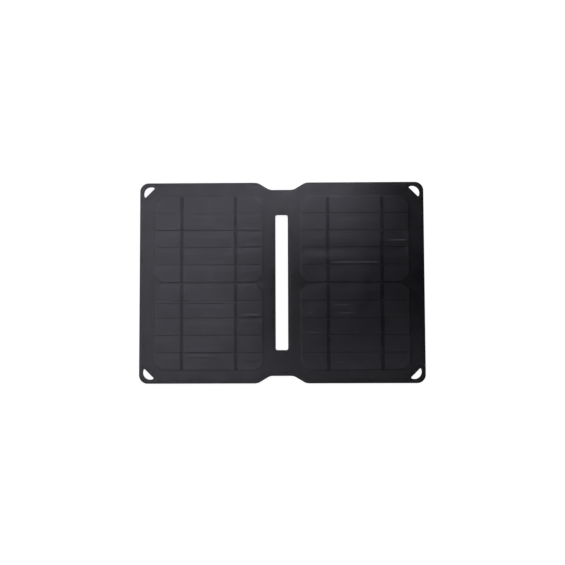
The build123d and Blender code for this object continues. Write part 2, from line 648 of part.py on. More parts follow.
def regulator_chip():
    """An eight-leg step-down regulator."""
    body = on_board(CHIP_AT, CHIP_SIZE, CHIP_LIFT)
    body = chamfer(body.faces().sort_by(Axis.Z)[0].edges(), CHIP_EDGE)
    x, y = from_box(CHIP_AT)
    inner = CHIP_SIZE[0] / 2 - CHIP_LEG_T / 2
    arm_z = (Z_PCB - CHIP_LEG_DROP, Z_PCB - CHIP_LEG_DROP + CHIP_LEG_T)
    for side in (1, -1):
        for k in range(CHIP_LEG_COUNT):
            along = around(y + (k - (CHIP_LEG_COUNT - 1) / 2) * CHIP_LEG_PITCH, CHIP_LEG_WIDTH)
            tip = x + side * CHIP_LEG_REACH
            body += block((x + side * inner, tip), along, arm_z)
            body += block((tip - side * CHIP_LEG_FOOT, tip), along, (Z_PCB - CHIP_LEG_DROP, Z_PCB))
    return body


def blocking_diode():
    """A flat rectifier that keeps the load from draining into the cells in the dark."""
    body = on_board(DIODE_AT, DIODE_SIZE, DIODE_LIFT)
    body = chamfer(body.faces().sort_by(Axis.Z)[0].edges(), DIODE_EDGE)
    return body + on_board(DIODE_AT, (2 * DIODE_LEG_REACH, DIODE_LEG_WIDTH, DIODE_LEG_T))


def chip_resistors():
    x, y = RESISTOR_AT
    return [on_board((x, y + k * RESISTOR_PITCH), RESISTOR_SIZE) for k in range(RESISTOR_COUNT)]


def status_led():
    lens_height = LED_SIZE[2] + LED_LENS[2]
    return on_board(LED_AT, LED_SIZE) + on_board(LED_AT, (LED_LENS[0], LED_LENS[1], lens_height), LED_SIZE[2])


def light_pipe():
    """The clear plug that carries the lamp's light to the outer face."""
    x, y = from_box(LED_AT)
    plug = rod(x, y, PIPE_R, PIPE_FACE_Z, WALL_T)
    plug = fillet(plug.edges().sort_by(Axis.Z)[0], PIPE_EDGE_R)
    flange_top = WALL_T + PIPE_FLANGE_T
    stem_top = Z_PCB - LED_SIZE[2] - LED_LENS[2] - POCKET_CLEAR
    return plug + rod(x, y, PIPE_FLANGE_R, WALL_T, flange_top) + rod(x, y, PIPE_STEM_R, flange_top, stem_top)


# ---------------------------------------------------------------- controller box: rubber port cover
def anchor_x():
    return BOX_X + sum(ANCHOR_X) / 2


def usb_cover():
    """The hinged rubber cover: a plate, the plug that fills the port's mouth, and grip ribs."""
    x0, x1 = BOX_X + COVER_PLATE_X[0], BOX_X + COVER_PLATE_X[1]
    plate = block((x0, x1), (COVER_OUTER_Y, USB_MOUTH_Y), around(USB_Z, COVER_PLATE_HEIGHT))
    plate = fillet(plate.edges().filter_by(Axis.Y).sort_by(Axis.X)[-2:], COVER_PLATE_R)
    plug_y = (USB_MOUTH_Y, USB_MOUTH_Y + PLUG_DEPTH)
    plug = block(around(BOX_X, PLUG_WIDTH), plug_y, around(USB_Z, PLUG_HEIGHT))
    plug = fillet(plug.edges().filter_by(Axis.Y), PLUG_R)
    grips = []
    for k in range(GRIP_COUNT):
        rib_x = x1 - GRIP_FROM_END + k * GRIP_PITCH
        rib_y = (COVER_OUTER_Y - GRIP_DEPTH, COVER_OUTER_Y)
        grips.append(block((rib_x, rib_x + GRIP_WIDTH), rib_y, around(USB_Z, GRIP_HEIGHT)))
    neck_z = around(USB_Z, COVER_NECK_HEIGHT)
    neck = block((COVER_HINGE_X, x0), around(COVER_HINGE_Y, 2 * COVER_NECK_HALF), neck_z)
    return plate + plug + grips + neck + rod(COVER_HINGE_X, COVER_HINGE_Y, COVER_KNUCKLE_R, *neck_z)


def usb_cover_anchor():
    """The fixed end of the rubber cover: a tab with a barbed stem through the end wall."""
    x0, x1 = BOX_X + ANCHOR_X[0], BOX_X + ANCHOR_X[1]
    tab = block((x0, x1), (COVER_OUTER_Y, USB_MOUTH_Y), around(USB_Z, ANCHOR_HEIGHT))
    tab = fillet(tab.edges().filter_by(Axis.Y).sort_by(Axis.X)[:2], COVER_PLATE_R)
    stem = rod_along_y(anchor_x(), USB_Z, ANCHOR_STEM_R, USB_MOUTH_Y, INNER_END_Y)
    barb = rod_along_y(anchor_x(), USB_Z, ANCHOR_BARB_R, INNER_END_Y, INNER_END_Y + ANCHOR_BARB_T)
    neck_x = (x1, COVER_HINGE_X - COVER_KNUCKLE_R - ANCHOR_GAP)
    neck = block(neck_x, (COVER_HINGE_Y, COVER_HINGE_Y + COVER_NECK_HALF), around(USB_Z, COVER_NECK_HEIGHT))
    return tab + stem + barb + neck


# ---------------------------------------------------------------- assembly
def panel_nodes(side):
    """Every node of one panel's laminate. Only the right panel's rear layers let the leads through."""
    is_right = side == "right"
    nodes = {
        "front_film": [front_film()],
        "front_encapsulant": [front_encapsulant()],
        "tab_ribbons": tab_ribbons(),
        "bus_ribbons": bus_ribbons(),
        "fold_leads": fold_leads(),
        "backing_sheet": [backing_sheet(is_right)],
        "stiffener_board": [stiffener_board(is_right)],
        "rear_fabric": [rear_fabric(is_right)],
    }
    for number, strip in enumerate(cell_strips(), 1):
        nodes[f"cell_{number:02d}"] = [strip]
    return {f"{side}_{name}": solids if is_right else mirrored(solids) for name, solids in nodes.items()}


def box_nodes():
    """Every node of the controller box and its connections."""
    return {
        "collector_ribbons": collector_ribbons(),
        "positive_lead": [lead(-1)],
        "negative_lead": [lead(1)],
        "lead_grommets": lead_grommets(),
        "box_adhesive_pad": [box_adhesive_pad()],
        "box_base": [box_base()],
        "box_seal": [box_seal()],
        "box_cover": [box_cover()],
        "cover_screws": cover_screws(),
        "circuit_board": [circuit_board()],
        "circuit_board_screws": circuit_board_screws(),
        "usb_shell": [usb_shell()],
        "usb_insulator": [usb_insulator()],
        "usb_contacts": [usb_contact(x) for x in CONTACT_XS],
        "inductor": [inductor()],
        "capacitors": capacitors(),
        "regulator_chip": [regulator_chip()],
        "blocking_diode": [blocking_diode()],
        "chip_resistors": chip_resistors(),
        "status_led": [status_led()],
        "light_pipe": [light_pipe()],
        "usb_cover": [usb_cover()],
        "usb_cover_anchor": [usb_cover_anchor()],
    }


def main():
    """One STEP file per node, holding its solids and nothing else."""
    os.makedirs("parts", exist_ok=True)
    nodes = {**panel_nodes("right"), **panel_nodes("left"), **box_nodes()}
    for node, shapes in nodes.items():
        solids = [solid for shape in shapes for solid in shape.solids()]
        body = solids[0] if len(solids) == 1 else Compound(children=solids)
        export_step(body, f"parts/{node}.step")


main()
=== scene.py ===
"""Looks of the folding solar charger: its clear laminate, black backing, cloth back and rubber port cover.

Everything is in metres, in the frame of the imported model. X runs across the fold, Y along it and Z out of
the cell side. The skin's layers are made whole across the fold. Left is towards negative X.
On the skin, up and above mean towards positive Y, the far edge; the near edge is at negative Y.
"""

import json
import math

import bmesh
import bpy
import numpy as np
from mathutils import Matrix, Vector
from mathutils.geometry import delaunay_2d_cdt


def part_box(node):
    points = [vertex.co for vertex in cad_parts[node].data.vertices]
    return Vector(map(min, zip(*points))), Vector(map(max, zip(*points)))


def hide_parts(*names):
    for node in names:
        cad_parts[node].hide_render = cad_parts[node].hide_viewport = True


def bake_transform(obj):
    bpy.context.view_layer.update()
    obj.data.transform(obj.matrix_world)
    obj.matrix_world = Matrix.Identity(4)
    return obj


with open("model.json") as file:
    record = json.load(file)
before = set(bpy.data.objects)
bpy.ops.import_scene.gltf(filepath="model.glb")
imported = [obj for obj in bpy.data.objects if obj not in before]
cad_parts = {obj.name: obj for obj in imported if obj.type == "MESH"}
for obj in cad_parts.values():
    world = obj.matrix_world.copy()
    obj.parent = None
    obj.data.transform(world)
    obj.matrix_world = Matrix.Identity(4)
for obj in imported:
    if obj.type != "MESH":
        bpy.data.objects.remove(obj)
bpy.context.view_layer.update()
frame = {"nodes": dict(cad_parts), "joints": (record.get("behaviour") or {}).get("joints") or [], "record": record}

MM = 0.001

# ---------------------------------------------------------------- places, from the frame
FILM_LOW, FILM_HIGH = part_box("right_front_film")
BACKING_LOW, BACKING_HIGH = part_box("right_backing_sheet")
CELL_LOW, CELL_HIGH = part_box("right_cell_01")
FABRIC_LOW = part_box("right_rear_fabric")[0]
BOARD_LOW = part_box("right_stiffener_board")[0]
RIBBONS_LOW, RIBBONS_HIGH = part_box("right_tab_ribbons")
LEAD_LOW, LEAD_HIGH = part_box("right_fold_leads")
COVER_LOW, COVER_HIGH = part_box("usb_cover")
ANCHOR_LOW, ANCHOR_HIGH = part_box("usb_cover_anchor")
SHELL_LOW, SHELL_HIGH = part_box("usb_shell")
JOINTS = {joint["name"]: joint for joint in frame["joints"]}
STRIPS = [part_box(f"right_cell_{number:02d}") for number in range(1, 11)]

# ---------------------------------------------------------------- driving dimensions
RIBBON_WIDTH = 4.2 * MM
FOLD_CONDUCTOR_WIDTH = 5.0 * MM
CLOTH_THICKNESS = 0.4 * MM
GLUE_GAP = 0.03 * MM  # keeps bonded faces from lying in one plane
WAFER_RADIUS = 82.5 * MM  # the round ingot that leaves the wafers' corners cut
POCKET_EDGE = 0.1 * MM  # from a cell's edge to its pocket's wall
POCKET_WALL = 0.08 * MM  # run of that wall
CLOTH_SLOPE = 1.8 * MM  # run of the cloth's slope round a stiff board
CLOTH_RIM_SINK = 0.06 * MM  # its pressed rim is this much thinner
CLOTH_ROUND = 0.25 * MM
FOLD_HALF = 10.5 * MM  # the soft part of the skin either side of the fold line

# The clear skin's relief.
BORDER_SINK = 0.27 * MM  # its border below its highest point
CELL_RISE = 0.11 * MM  # it stands this much higher over the cells
RISE_OUTSIDE = 1.8 * MM  # that rise starts this far outside the cells' edge
RISE_INSIDE = 1.2 * MM  # and ends this far inside it
RIBBON_RISE = 0.03 * MM
GAP_DIP = 0.26 * MM
GAP_DIP_HALF = 0.9 * MM  # run of a dip's upper side, the steep one
GENTLE_SIDE = {-1: 6.0 * MM, 1: 13.0 * MM}  # run of its lower side, on the left and right panel
GAP_SHIFT = 0.45 * MM  # a dip's lowest line is this far below the middle of its gap
GAP_SWELL = 0.2  # a dip's depth swells and shrinks by this share along its length
GAP_SWELL_RUN = 11 * MM
GAP_END_RUN = 3 * MM  # a dip fades out over this at the ends of its gap
SHARP_GAP = (-1, 5)  # the left panel's sixth gap is steep on both sides
LIPPED_GAP = (-1, 1)  # the left panel's second gap has a raised lip above it
GAP_LIP = 0.8  # height of that lip as a share of the dip
GAP_LIP_HALF = 0.7 * MM
LEAST_COVER = 0.15 * MM  # of clear skin over a cell's face, more than a ribbon's height
WAVE_EDGE = 6 * MM  # the skin's slow waves fade out over this at its edge
RIM_WIDTH = 2.4 * MM  # pressed rim round every edge
RIM_RUN = 0.6 * MM  # run of the step behind it
RIM_SINK = 0.05 * MM
EDGE_ROUND = 0.25 * MM
ROUND_DROP = 0.6  # a rounded edge drops by this share of its radius

# Spacing of the points that the skin's layers are built on.
PANEL_STEP = 4.5 * MM
BORDER_STEP = 2.5 * MM
SLOPE_STEP = 0.75 * MM
FOLD_STEP = 0.75 * MM
OUTLINE_STEP = 4.0 * MM
BACKING_STEP = 9 * MM
CLOTH_STEP = 6 * MM
LOOSE_GAP = 0.25 * MM  # least distance from an outline or ring to the loose points beside it

# How deep the skin dips between each two strips, from the top down, as shares of GAP_DIP at the panel's
# left and right ends. The fifth gap is the wide one between the two groups.
GAP_DEPTHS = {
    -1: [(0.15, 0.2), (1.0, 1.0), (0.8, 0.8), (0.8, 0.8), (0.6, 0.7),
         (1.0, 0.8), (0.8, 1.0), (0.5, 0.9), (0.5, 0.6)],
    1: [(0.1, 0.3), (0.1, 0.8), (1.0, 1.0), (0.6, 0.4), (1.0, 1.0),
        (1.0, 0.8), (0.6, 0.4), (0.5, 0.4), (0.5, 0.4)],
}

# Creases in the clear skin over the cells, seen as thin bright and dark lines. Each is: the panel (-1 left,
# 1 right), strip from the top, share of the way down the strip, where it starts and ends across the panel
# as shares from the left, and its height (negative for a furrow).
CREASE_SCALE = 5.0 * MM
CREASE_END_RUN = 7 * MM  # a crease fades out over this at each end
CREASE_STEEP = 1.1 * MM  # run of the side that faces the near edge
CREASE_GENTLE = {-1: 3.2 * MM, 1: 1.5 * MM}  # run of the side that faces the far edge, left and right
CREASES = [
    (-1, 3, 0.02, 0.80, 1.00, 0.035),
    (-1, 3, 0.74, 0.80, 0.99, -0.03),
    (-1, 4, 0.34, 0.42, 0.62, -0.035),
    (-1, 4, 0.85, 0.42, 0.66, -0.04),
    (-1, 7, 0.18, 0.02, 0.72, -0.045),
    (-1, 7, 0.70, 0.80, 1.00, -0.04),
    (-1, 7, 0.92, 0.80, 1.00, 0.035),
    (-1, 8, 0.02, 0.15, 0.25, 0.035),
    (-1, 10, 0.26, 0.28, 0.60, 0.04),
    (-1, 10, 0.53, 0.80, 1.00, -0.045),
    (1, 3, 0.02, 0.62, 1.00, 0.04),
    (1, 3, 0.66, 0.80, 1.00, 0.04),
    (1, 4, 0.36, 0.80, 0.88, -0.03),
    (1, 4, 0.85, 0.28, 0.74, -0.035),
    (1, 7, 0.19, 0.28, 0.48, -0.035),
    (1, 7, 0.70, 0.02, 0.13, -0.038),
    (1, 7, 0.70, 0.28, 0.50, -0.035),
    (1, 8, 0.66, 0.86, 1.00, 0.035),
    (1, 8, 0.90, 0.02, 0.20, 0.035),
    (1, 10, 0.05, 0.76, 1.00, -0.035),
    (1, 10, 0.53, 0.28, 0.48, -0.038),
]


# ---------------------------------------------------------------- outlines, read from the CAD nodes
def edge_chains(node, z, cut_x=None):
    """Chains of (x, y) points round a node's flat face at height z, open where it was cut at cut_x."""
    near = 0.01 * MM
    bm = bmesh.new()
    bm.from_mesh(frame["nodes"][node].data)
    bmesh.ops.remove_doubles(bm, verts=bm.verts, dist=near / 10)
    bm.normal_update()
    flat = {f for f in bm.faces if abs(f.normal.z) > 0.99 and all(abs(v.co.z - z) < near for v in f.verts)}
    links = {}
    for edge in bm.edges:
        if len(flat.intersection(edge.link_faces)) != 1:
            continue
        a, b = ((round(v.co.x, 7), round(v.co.y, 7)) for v in edge.verts)
        if cut_x is not None and abs(a[0] - cut_x) < near and abs(b[0] - cut_x) < near:
            continue
        links.setdefault(a, []).append(b)
        links.setdefault(b, []).append(a)
    bm.free()
    chains = []
    while links:
        ends = [point for point, others in links.items() if len(others) == 1]
        point = ends[0] if ends else next(iter(links))
        chain = [point]
        while links.get(point):
            after = links[point].pop()
            links[after].remove(point)
            if not links[point]:
                del links[point]
            point = after
            if point == chain[0]:
                break
            chain.append(point)
        links = {key: others for key, others in links.items() if others}
        chains.append(np.array(chain))
    return chains


def whole_loop(chain):
    """A closed loop from an open chain that ends at the fold line, and its mirror image."""
    chain = chain.copy()
    chain[0, 0] = chain[-1, 0] = 0.0
    mirror = chain[-2:0:-1] * (-1, 1)
    return np.vstack([chain, mirror])


def counter_clockwise(loop):
    """The loop, reversed if it runs clockwise."""
    x, y = loop[:, 0], loop[:, 1]
    area = np.sum(x * np.roll(y, -1) - np.roll(x, -1) * y)
    return loop if area > 0 else loop[::-1]


def divided(loop, step):
    """The loop with points added so that no side is longer than step."""
    found = []
    for a, b in zip(loop, np.roll(loop, -1, axis=0)):
        count = max(1, math.ceil(np.linalg.norm(b - a) / step))
        found.extend(a + (b - a) * k / count for k in range(count))
    return np.array(found)


def skin_loops():
    """The skin's outer loop, and the loops of its slot and its four half-moon holes."""
    outer, holes = None, []
    for chain in edge_chains("right_front_film", FILM_HIGH.z, FILM_LOW.x):
        is_open = abs(chain[0, 0] - FILM_LOW.x) < 0.01 * MM
        if not is_open:
            holes += [chain, chain * (-1, 1)]
        elif chain[:, 0].max() > FILM_HIGH.x - MM:
            outer = whole_loop(chain)
        else:
            holes.append(whole_loop(chain))
    return divided(counter_clockwise(outer), OUTLINE_STEP), [
        divided(counter_clockwise(hole), OUTLINE_STEP) for hole in holes
    ]


# ---------------------------------------------------------------- plane geometry on arrays of points
def distance_to(points, loop):
    """Distance from each point to the nearest side of a closed loop."""
    best = np.full(len(points), np.inf)
    for a, b in zip(loop, np.roll(loop, -1, axis=0)):
        side = b - a
        along = np.clip((points - a) @ side / (side @ side), 0, 1)
        best = np.minimum(best, np.hypot(*(points - a - along[:, None] * side).T))
    return best


def is_inside(points, loop):
    """Whether each point is inside a closed loop."""
    x, y = points.T
    inside = np.zeros(len(points), bool)
    for (ax, ay), (bx, by) in zip(loop, np.roll(loop, -1, axis=0)):
        if ay == by:
            continue
        crosses = (ay > y) != (by > y)
        inside ^= crosses & (x < ax + (y - ay) * (bx - ax) / (by - ay))
    return inside


def inset_ring(loop, distance, outward=False):
    """A counter-clockwise loop moved into its inside by a distance, or out of it."""
    after, before = np.roll(loop, -1, axis=0), np.roll(loop, 1, axis=0)
    tangent = after - before
    tangent /= np.linalg.norm(tangent, axis=1)[:, None]
    inward = np.column_stack([-tangent[:, 1], tangent[:, 0]])
    return loop + inward * (-distance if outward else distance)


def smooth(low, high, value):
    """0 below low, 1 above high, and a smooth step between them. low may be the higher one."""
    t = np.clip((value - low) / (high - low), 0, 1)
    return t * t * (3 - 2 * t)


def bell(value, half_width):
    """1 at zero, falling smoothly to 0 at half_width on either side."""
    t = np.clip(np.abs(value) / half_width, 0, 1)
    return (1 - t * t) ** 2


def lopsided_bell(value, below, above):
    """1 at zero, falling smoothly to 0 at one distance below it and at another above it."""
    return bell(value / np.where(value > 0, above, below), 1.0)


# ---------------------------------------------------------------- where the cells are
PANEL_X = (CELL_LOW.x + CELL_HIGH.x) / 2
CELL_HALF = (CELL_HIGH.x - CELL_LOW.x) / 2
RIBBON_XS = (RIBBONS_LOW.x + RIBBON_WIDTH / 2, RIBBONS_HIGH.x - RIBBON_WIDTH / 2)
GROUPS = [(STRIPS[4][0].y, STRIPS[0][1].y), (STRIPS[9][0].y, STRIPS[5][1].y)]
GAPS = [(upper[0].y + lower[1].y) / 2 for upper, lower in zip(STRIPS, STRIPS[1:])]


def outside_cells(points):
    """Distance outside the nearest group of cells, negative inside it."""
    x, y = np.abs(points[:, 0]) - PANEL_X, points[:, 1]
    found = np.full(len(points), np.inf)
    for low, high in GROUPS:
        middle, half = (low + high) / 2, (high - low) / 2
        from_end = half - np.abs(y - middle)
        corner = np.hypot(x, from_end - CELL_HALF) - WAFER_RADIUS
        corner = np.where(from_end < CELL_HALF, corner, -np.inf)
        found = np.minimum(found, np.maximum.reduce([np.abs(x) - CELL_HALF, -from_end, corner]))
    return found


def group_ring(low, high, side, grow):
    """A closed ring round one group of cells, with the wafer's round corners."""
    half_y = (high - low) / 2
    middle = np.array([side * PANEL_X, (low + high) / 2])
    start = math.acos(CELL_HALF / WAFER_RADIUS)
    turns = np.linspace(start, math.pi / 2 - start, 9)
    corner = np.column_stack([np.cos(turns), np.sin(turns)]) * (WAFER_RADIUS + grow)
    corner[:, 1] += half_y - CELL_HALF
    corner[0, 0] = CELL_HALF + grow
    corner[-1, 1] = half_y + grow
    flips = ((1, 1, 1), (-1, 1, -1), (-1, -1, 1), (1, -1, -1))
    ring = np.vstack([(corner * (fx, fy))[::order] for fx, fy, order in flips])
    return divided(middle + ring, OUTLINE_STEP)


# ---------------------------------------------------------------- one flat net of faces per layer
class Net:
    """A net of triangles over the skin's plan, from which each layer's two faces are lifted."""

    def __init__(self, x_lines, y_lines, rings=(), extra=(), edge_steps=()):
        self.outer, self.holes = skin_loops()
        loops = [self.outer, *self.holes]
        fixed = [*loops]
        for step in edge_steps:
            fixed.append(inset_ring(self.outer, step))
            fixed += [inset_ring(hole, step, outward=True) for hole in self.holes]
        fixed += rings
        points, edges = [], []
        for loop in fixed:
            first, count = len(points), len(loop)
            points.extend(loop)
            edges += [(first + k, first + (k + 1) % count) for k in range(count)]
        grid = np.array([(x, y) for x in x_lines for y in y_lines])
        loose = np.vstack([grid, *extra])
        clear = np.minimum.reduce([distance_to(loose, loop) for loop in fixed])
        points.extend(loose[clear > LOOSE_GAP])
        made = delaunay_2d_cdt([Vector(p / MM) for p in points], edges, [], 0, 1e-5)
        self.points = np.array([tuple(v) for v in made[0]]) * MM
        faces = np.array(made[2])
        middles = self.points[faces].mean(axis=1)
        kept = is_inside(middles, self.outer)
        for hole in self.holes:
            kept &= ~is_inside(middles, hole)
        self.faces = faces[kept]
        self.from_edge = np.minimum.reduce([distance_to(self.points, loop) for loop in loops])

    def rim(self):
        """The directed sides that belong to one face only."""
        sides = {}
        for face in self.faces:
            for a, b in zip(face, np.roll(face, -1)):
                sides[(a, b)] = True
        return [(a, b) for a, b in sides if (b, a) not in sides]

    def solid(self, name, top, bottom):
        """A closed layer between two arrays of heights, one for each point of the net."""
        used = np.unique(self.faces)
        order = np.full(len(self.points), -1)
        order[used] = np.arange(len(used))
        count = len(used)
        plan = self.points[used]
        verts = np.vstack([np.column_stack([plan, top[used]]), np.column_stack([plan, bottom[used]])])
        faces = order[self.faces]
        walls = [(order[b], order[a], order[a] + count, order[b] + count) for a, b in self.rim()]
        mesh = bpy.data.meshes.new(name)
        mesh.from_pydata(verts.tolist(), [], [*faces.tolist(), *(faces[:, ::-1] + count).tolist(), *walls])
        return new_piece(name, mesh)


def new_piece(name, mesh, smooth_angle=35):
    """An object for a mesh, smooth-shaded up to an angle between faces."""
    mesh.validate()
    mesh.shade_smooth()
    mesh.set_sharp_from_angle(angle=math.radians(smooth_angle))
    piece = bpy.data.objects.new(name, mesh)
    bpy.context.scene.collection.objects.link(piece)
    return piece


def wear(piece, slot):
    """Gives a new piece the material of a slot in the record."""
    piece.data.materials.append(MATERIALS[slot])


def spread(low, high, step):
    """Evenly spaced values from low to high, both among them."""
    return list(np.linspace(low, high, max(2, math.ceil((high - low) / step) + 1)))


def both_sides(values):
    """The values and their mirror images, in order."""
    return sorted({round(sign * value, 7) for value in values for sign in (-1, 1)})


# ---------------------------------------------------------------- the clear laminate over the cells
def crease_lines():
    """Each crease as (side, y, x0, x1, height)."""
    found = []
    for side, strip, down, start, end, height in CREASES:
        low, high = STRIPS[strip - 1]
        left = side * PANEL_X - CELL_HALF
        y = high.y - down * (high.y - low.y)
        x0, x1 = left + start * 2 * CELL_HALF, left + end * 2 * CELL_HALF
        found.append((side, y, x0, x1, CREASE_SCALE * height))
    return found


def crease_points():
    """Rows of points along each crease, close enough to give it a shape."""
    rows = []
    for side, y, x0, x1, _ in crease_lines():
        for offset in np.linspace(-1, 1, 13) * CREASE_GENTLE[side]:
            rows.append(np.array([(x, y + offset) for x in spread(x0, x1, BORDER_STEP)]))
    return rows


# The skin's slow waves: length in metres, direction and phase in radians, and height in millimetres.
WAVES = [
    (0.210, 0.5, 0.3, 0.0150),
    (0.130, 2.1, 1.9, 0.0070),
    (0.083, 1.2, 4.0, 0.0035),
    (0.051, 2.8, 0.8, 0.0015),
]


def slow_waves(points):
    """Gentle unevenness of a laminated sheet, a few hundredths of a millimetre."""
    x, y = points.T
    total = np.zeros(len(points))
    for length, turn, phase, height in WAVES:
        total += height * MM * np.sin((x * math.cos(turn) + y * math.sin(turn)) * math.tau / length + phase)
    return total


def gap_relief(x, y):
    """The dips between the strips, which swell and shrink a little along their length."""
    across = np.abs(np.abs(x) - PANEL_X)
    in_width = smooth(CELL_HALF, CELL_HALF - GAP_END_RUN, across)
    along = np.clip((np.abs(x) - PANEL_X) * np.sign(x) / (2 * CELL_HALF) + 0.5, 0, 1)
    total = np.zeros(len(x))
    for side, depths in GAP_DEPTHS.items():
        on_side = np.sign(x) == side
        for number, (gap, (start, end)) in enumerate(zip(GAPS, depths)):
            swell = 1 + GAP_SWELL * np.sin(x / GAP_SWELL_RUN + gap / MM)
            depth = GAP_DIP * swell * (start + (end - start) * along) * in_width * on_side
            lower_run = GAP_DIP_HALF if (side, number) == SHARP_GAP else GENTLE_SIDE[side]
            from_dip = y - gap + GAP_SHIFT
            total -= depth * lopsided_bell(from_dip, lower_run, GAP_DIP_HALF)
            if (side, number) == LIPPED_GAP:
                from_lip = from_dip - GAP_DIP_HALF - 0.4 * GAP_LIP_HALF
                total += depth * GAP_LIP * bell(from_lip, GAP_LIP_HALF)
    return total


def bridged(x, y):
    """1 over the wide gap, where the two groups' straight edges face each other, and 0 away from there."""
    flat_end = math.sqrt(WAFER_RADIUS**2 - CELL_HALF**2)
    across = np.abs(np.abs(x) - PANEL_X)
    return smooth(flat_end + 2 * MM, flat_end - 5 * MM, across) * (np.abs(y) < 2.5 * MM)


def laminate_top(net):
    """Heights of the clear skin: raised over the cells, dipping between them, with a pressed rim."""
    points = net.points
    x, y = points.T
    outside = outside_cells(points)
    over_cells = np.maximum(smooth(RISE_OUTSIDE, -RISE_INSIDE, outside), bridged(x, y))
    height = np.full(len(points), FILM_HIGH.z - BORDER_SINK) + CELL_RISE * over_cells
    height += gap_relief(x, y)
    for ribbon_x in RIBBON_XS:
        height += RIBBON_RISE * over_cells * bell(np.abs(x) - ribbon_x, RIBBON_WIDTH)
    for side, crease_y, x0, x1, crease_height in crease_lines():
        ends = smooth(x0, x0 + CREASE_END_RUN, x) * smooth(x1, x1 - CREASE_END_RUN, x)
        below, above = CREASE_STEEP, CREASE_GENTLE[side]
        if crease_height < 0:
            below, above = above, below
        height += crease_height * ends * lopsided_bell(y - crease_y, below, above)
    height += slow_waves(points) * smooth(0, WAVE_EDGE, net.from_edge)
    height = np.maximum(height, CELL_HIGH.z + LEAST_COVER)
    height -= RIM_SINK * smooth(RIM_WIDTH + RIM_RUN, RIM_WIDTH, net.from_edge)
    height -= edge_round(net, EDGE_ROUND)
    return np.minimum(height, FILM_HIGH.z)


def edge_round(net, radius):
    """How far a rounded edge has dropped, at each point of a net."""
    near = np.clip(1 - net.from_edge / radius, 0, 1)
    return radius * ROUND_DROP * (1 - np.sqrt(1 - near * near))


def make_laminate():
    """Film and encapsulant together: one clear sheet from the cells' faces to the front."""
    one_side = np.array([0.25, 0.5, 0.75, 1.0, 1.25, 1.5, 1.8, 2.2, 2.8, 3.8, 5.0]) * GAP_DIP_HALF
    around_gap = [0, *one_side, *-one_side]
    y_lines = [gap - GAP_SHIFT + offset for gap in GAPS for offset in around_gap]
    for low, high in STRIPS:
        y_lines += spread(low.y + 2 * MM, high.y - 2 * MM, PANEL_STEP)
    edge_y = GROUPS[0][1]
    y_lines += both_sides(spread(edge_y - MM, edge_y + 2 * MM, SLOPE_STEP))
    y_lines += both_sides(spread(edge_y + 3 * MM, FILM_HIGH.y - MM, BORDER_STEP))
    x_lines = spread(FOLD_HALF, CELL_LOW.x - 2 * MM, BORDER_STEP)
    x_lines += spread(CELL_LOW.x - RISE_OUTSIDE, CELL_LOW.x + RISE_INSIDE, SLOPE_STEP)
    x_lines += spread(CELL_LOW.x + 3 * MM, CELL_HIGH.x - 3 * MM, PANEL_STEP)
    x_lines += spread(CELL_HIGH.x - RISE_INSIDE, CELL_HIGH.x + RISE_OUTSIDE, SLOPE_STEP)
    x_lines += spread(CELL_HIGH.x + 3 * MM, FILM_HIGH.x - MM, BORDER_STEP)
    for ribbon_x in RIBBON_XS:
        x_lines += [ribbon_x + share * RIBBON_WIDTH for share in (-1, -0.6, -0.3, 0, 0.3, 0.6, 1)]
    x_lines = both_sides(x_lines) + spread(-FOLD_HALF + FOLD_STEP, FOLD_HALF - FOLD_STEP, FOLD_STEP)
    net = Net(
        x_lines,
        y_lines,
        extra=crease_points(),
        edge_steps=(0.08 * MM, 0.16 * MM, EDGE_ROUND, RIM_WIDTH, RIM_WIDTH + RIM_RUN),
    )
    bottom = np.full(len(net.points), CELL_HIGH.z + GLUE_GAP)
    piece = net.solid("clear_laminate", laminate_top(net), bottom)
    wear(piece, "clear_film")
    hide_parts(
        "left_front_film", "right_front_film", "left_front_encapsulant", "right_front_encapsulant"
    )
    over_fold(piece)


def over_fold(piece):
    """Bakes the piece's placement into its mesh."""
    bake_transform(piece)


# ---------------------------------------------------------------- the black backing behind the cells
def make_backing():
    """The black sheet: its border is level with the cells' faces, and the cells stand in its pockets."""
    rings = []
    for grow in (POCKET_EDGE, POCKET_EDGE + POCKET_WALL):
        rings += [group_ring(low, high, side, grow) for low, high in GROUPS for side in (-1, 1)]
    x_lines = both_sides(spread(FOLD_HALF, FILM_HIGH.x - MM, BACKING_STEP))
    x_lines += spread(-FOLD_HALF + FOLD_STEP, FOLD_HALF - FOLD_STEP, FOLD_STEP)
    y_lines = both_sides(spread(5 * MM, FILM_HIGH.y - MM, BACKING_STEP))
    net = Net(x_lines, y_lines, rings=rings)
    outside = outside_cells(net.points)
    in_pocket = outside < POCKET_EDGE + POCKET_WALL / 2
    top = np.where(in_pocket, CELL_LOW.z - GLUE_GAP, BACKING_HIGH.z)
    bottom = np.full(len(net.points), BACKING_LOW.z + GLUE_GAP)
    piece = net.solid("black_backing_sheet", top, bottom)
    wear(piece, "black_backing")
    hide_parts("left_backing_sheet", "right_backing_sheet")
    over_fold(piece)


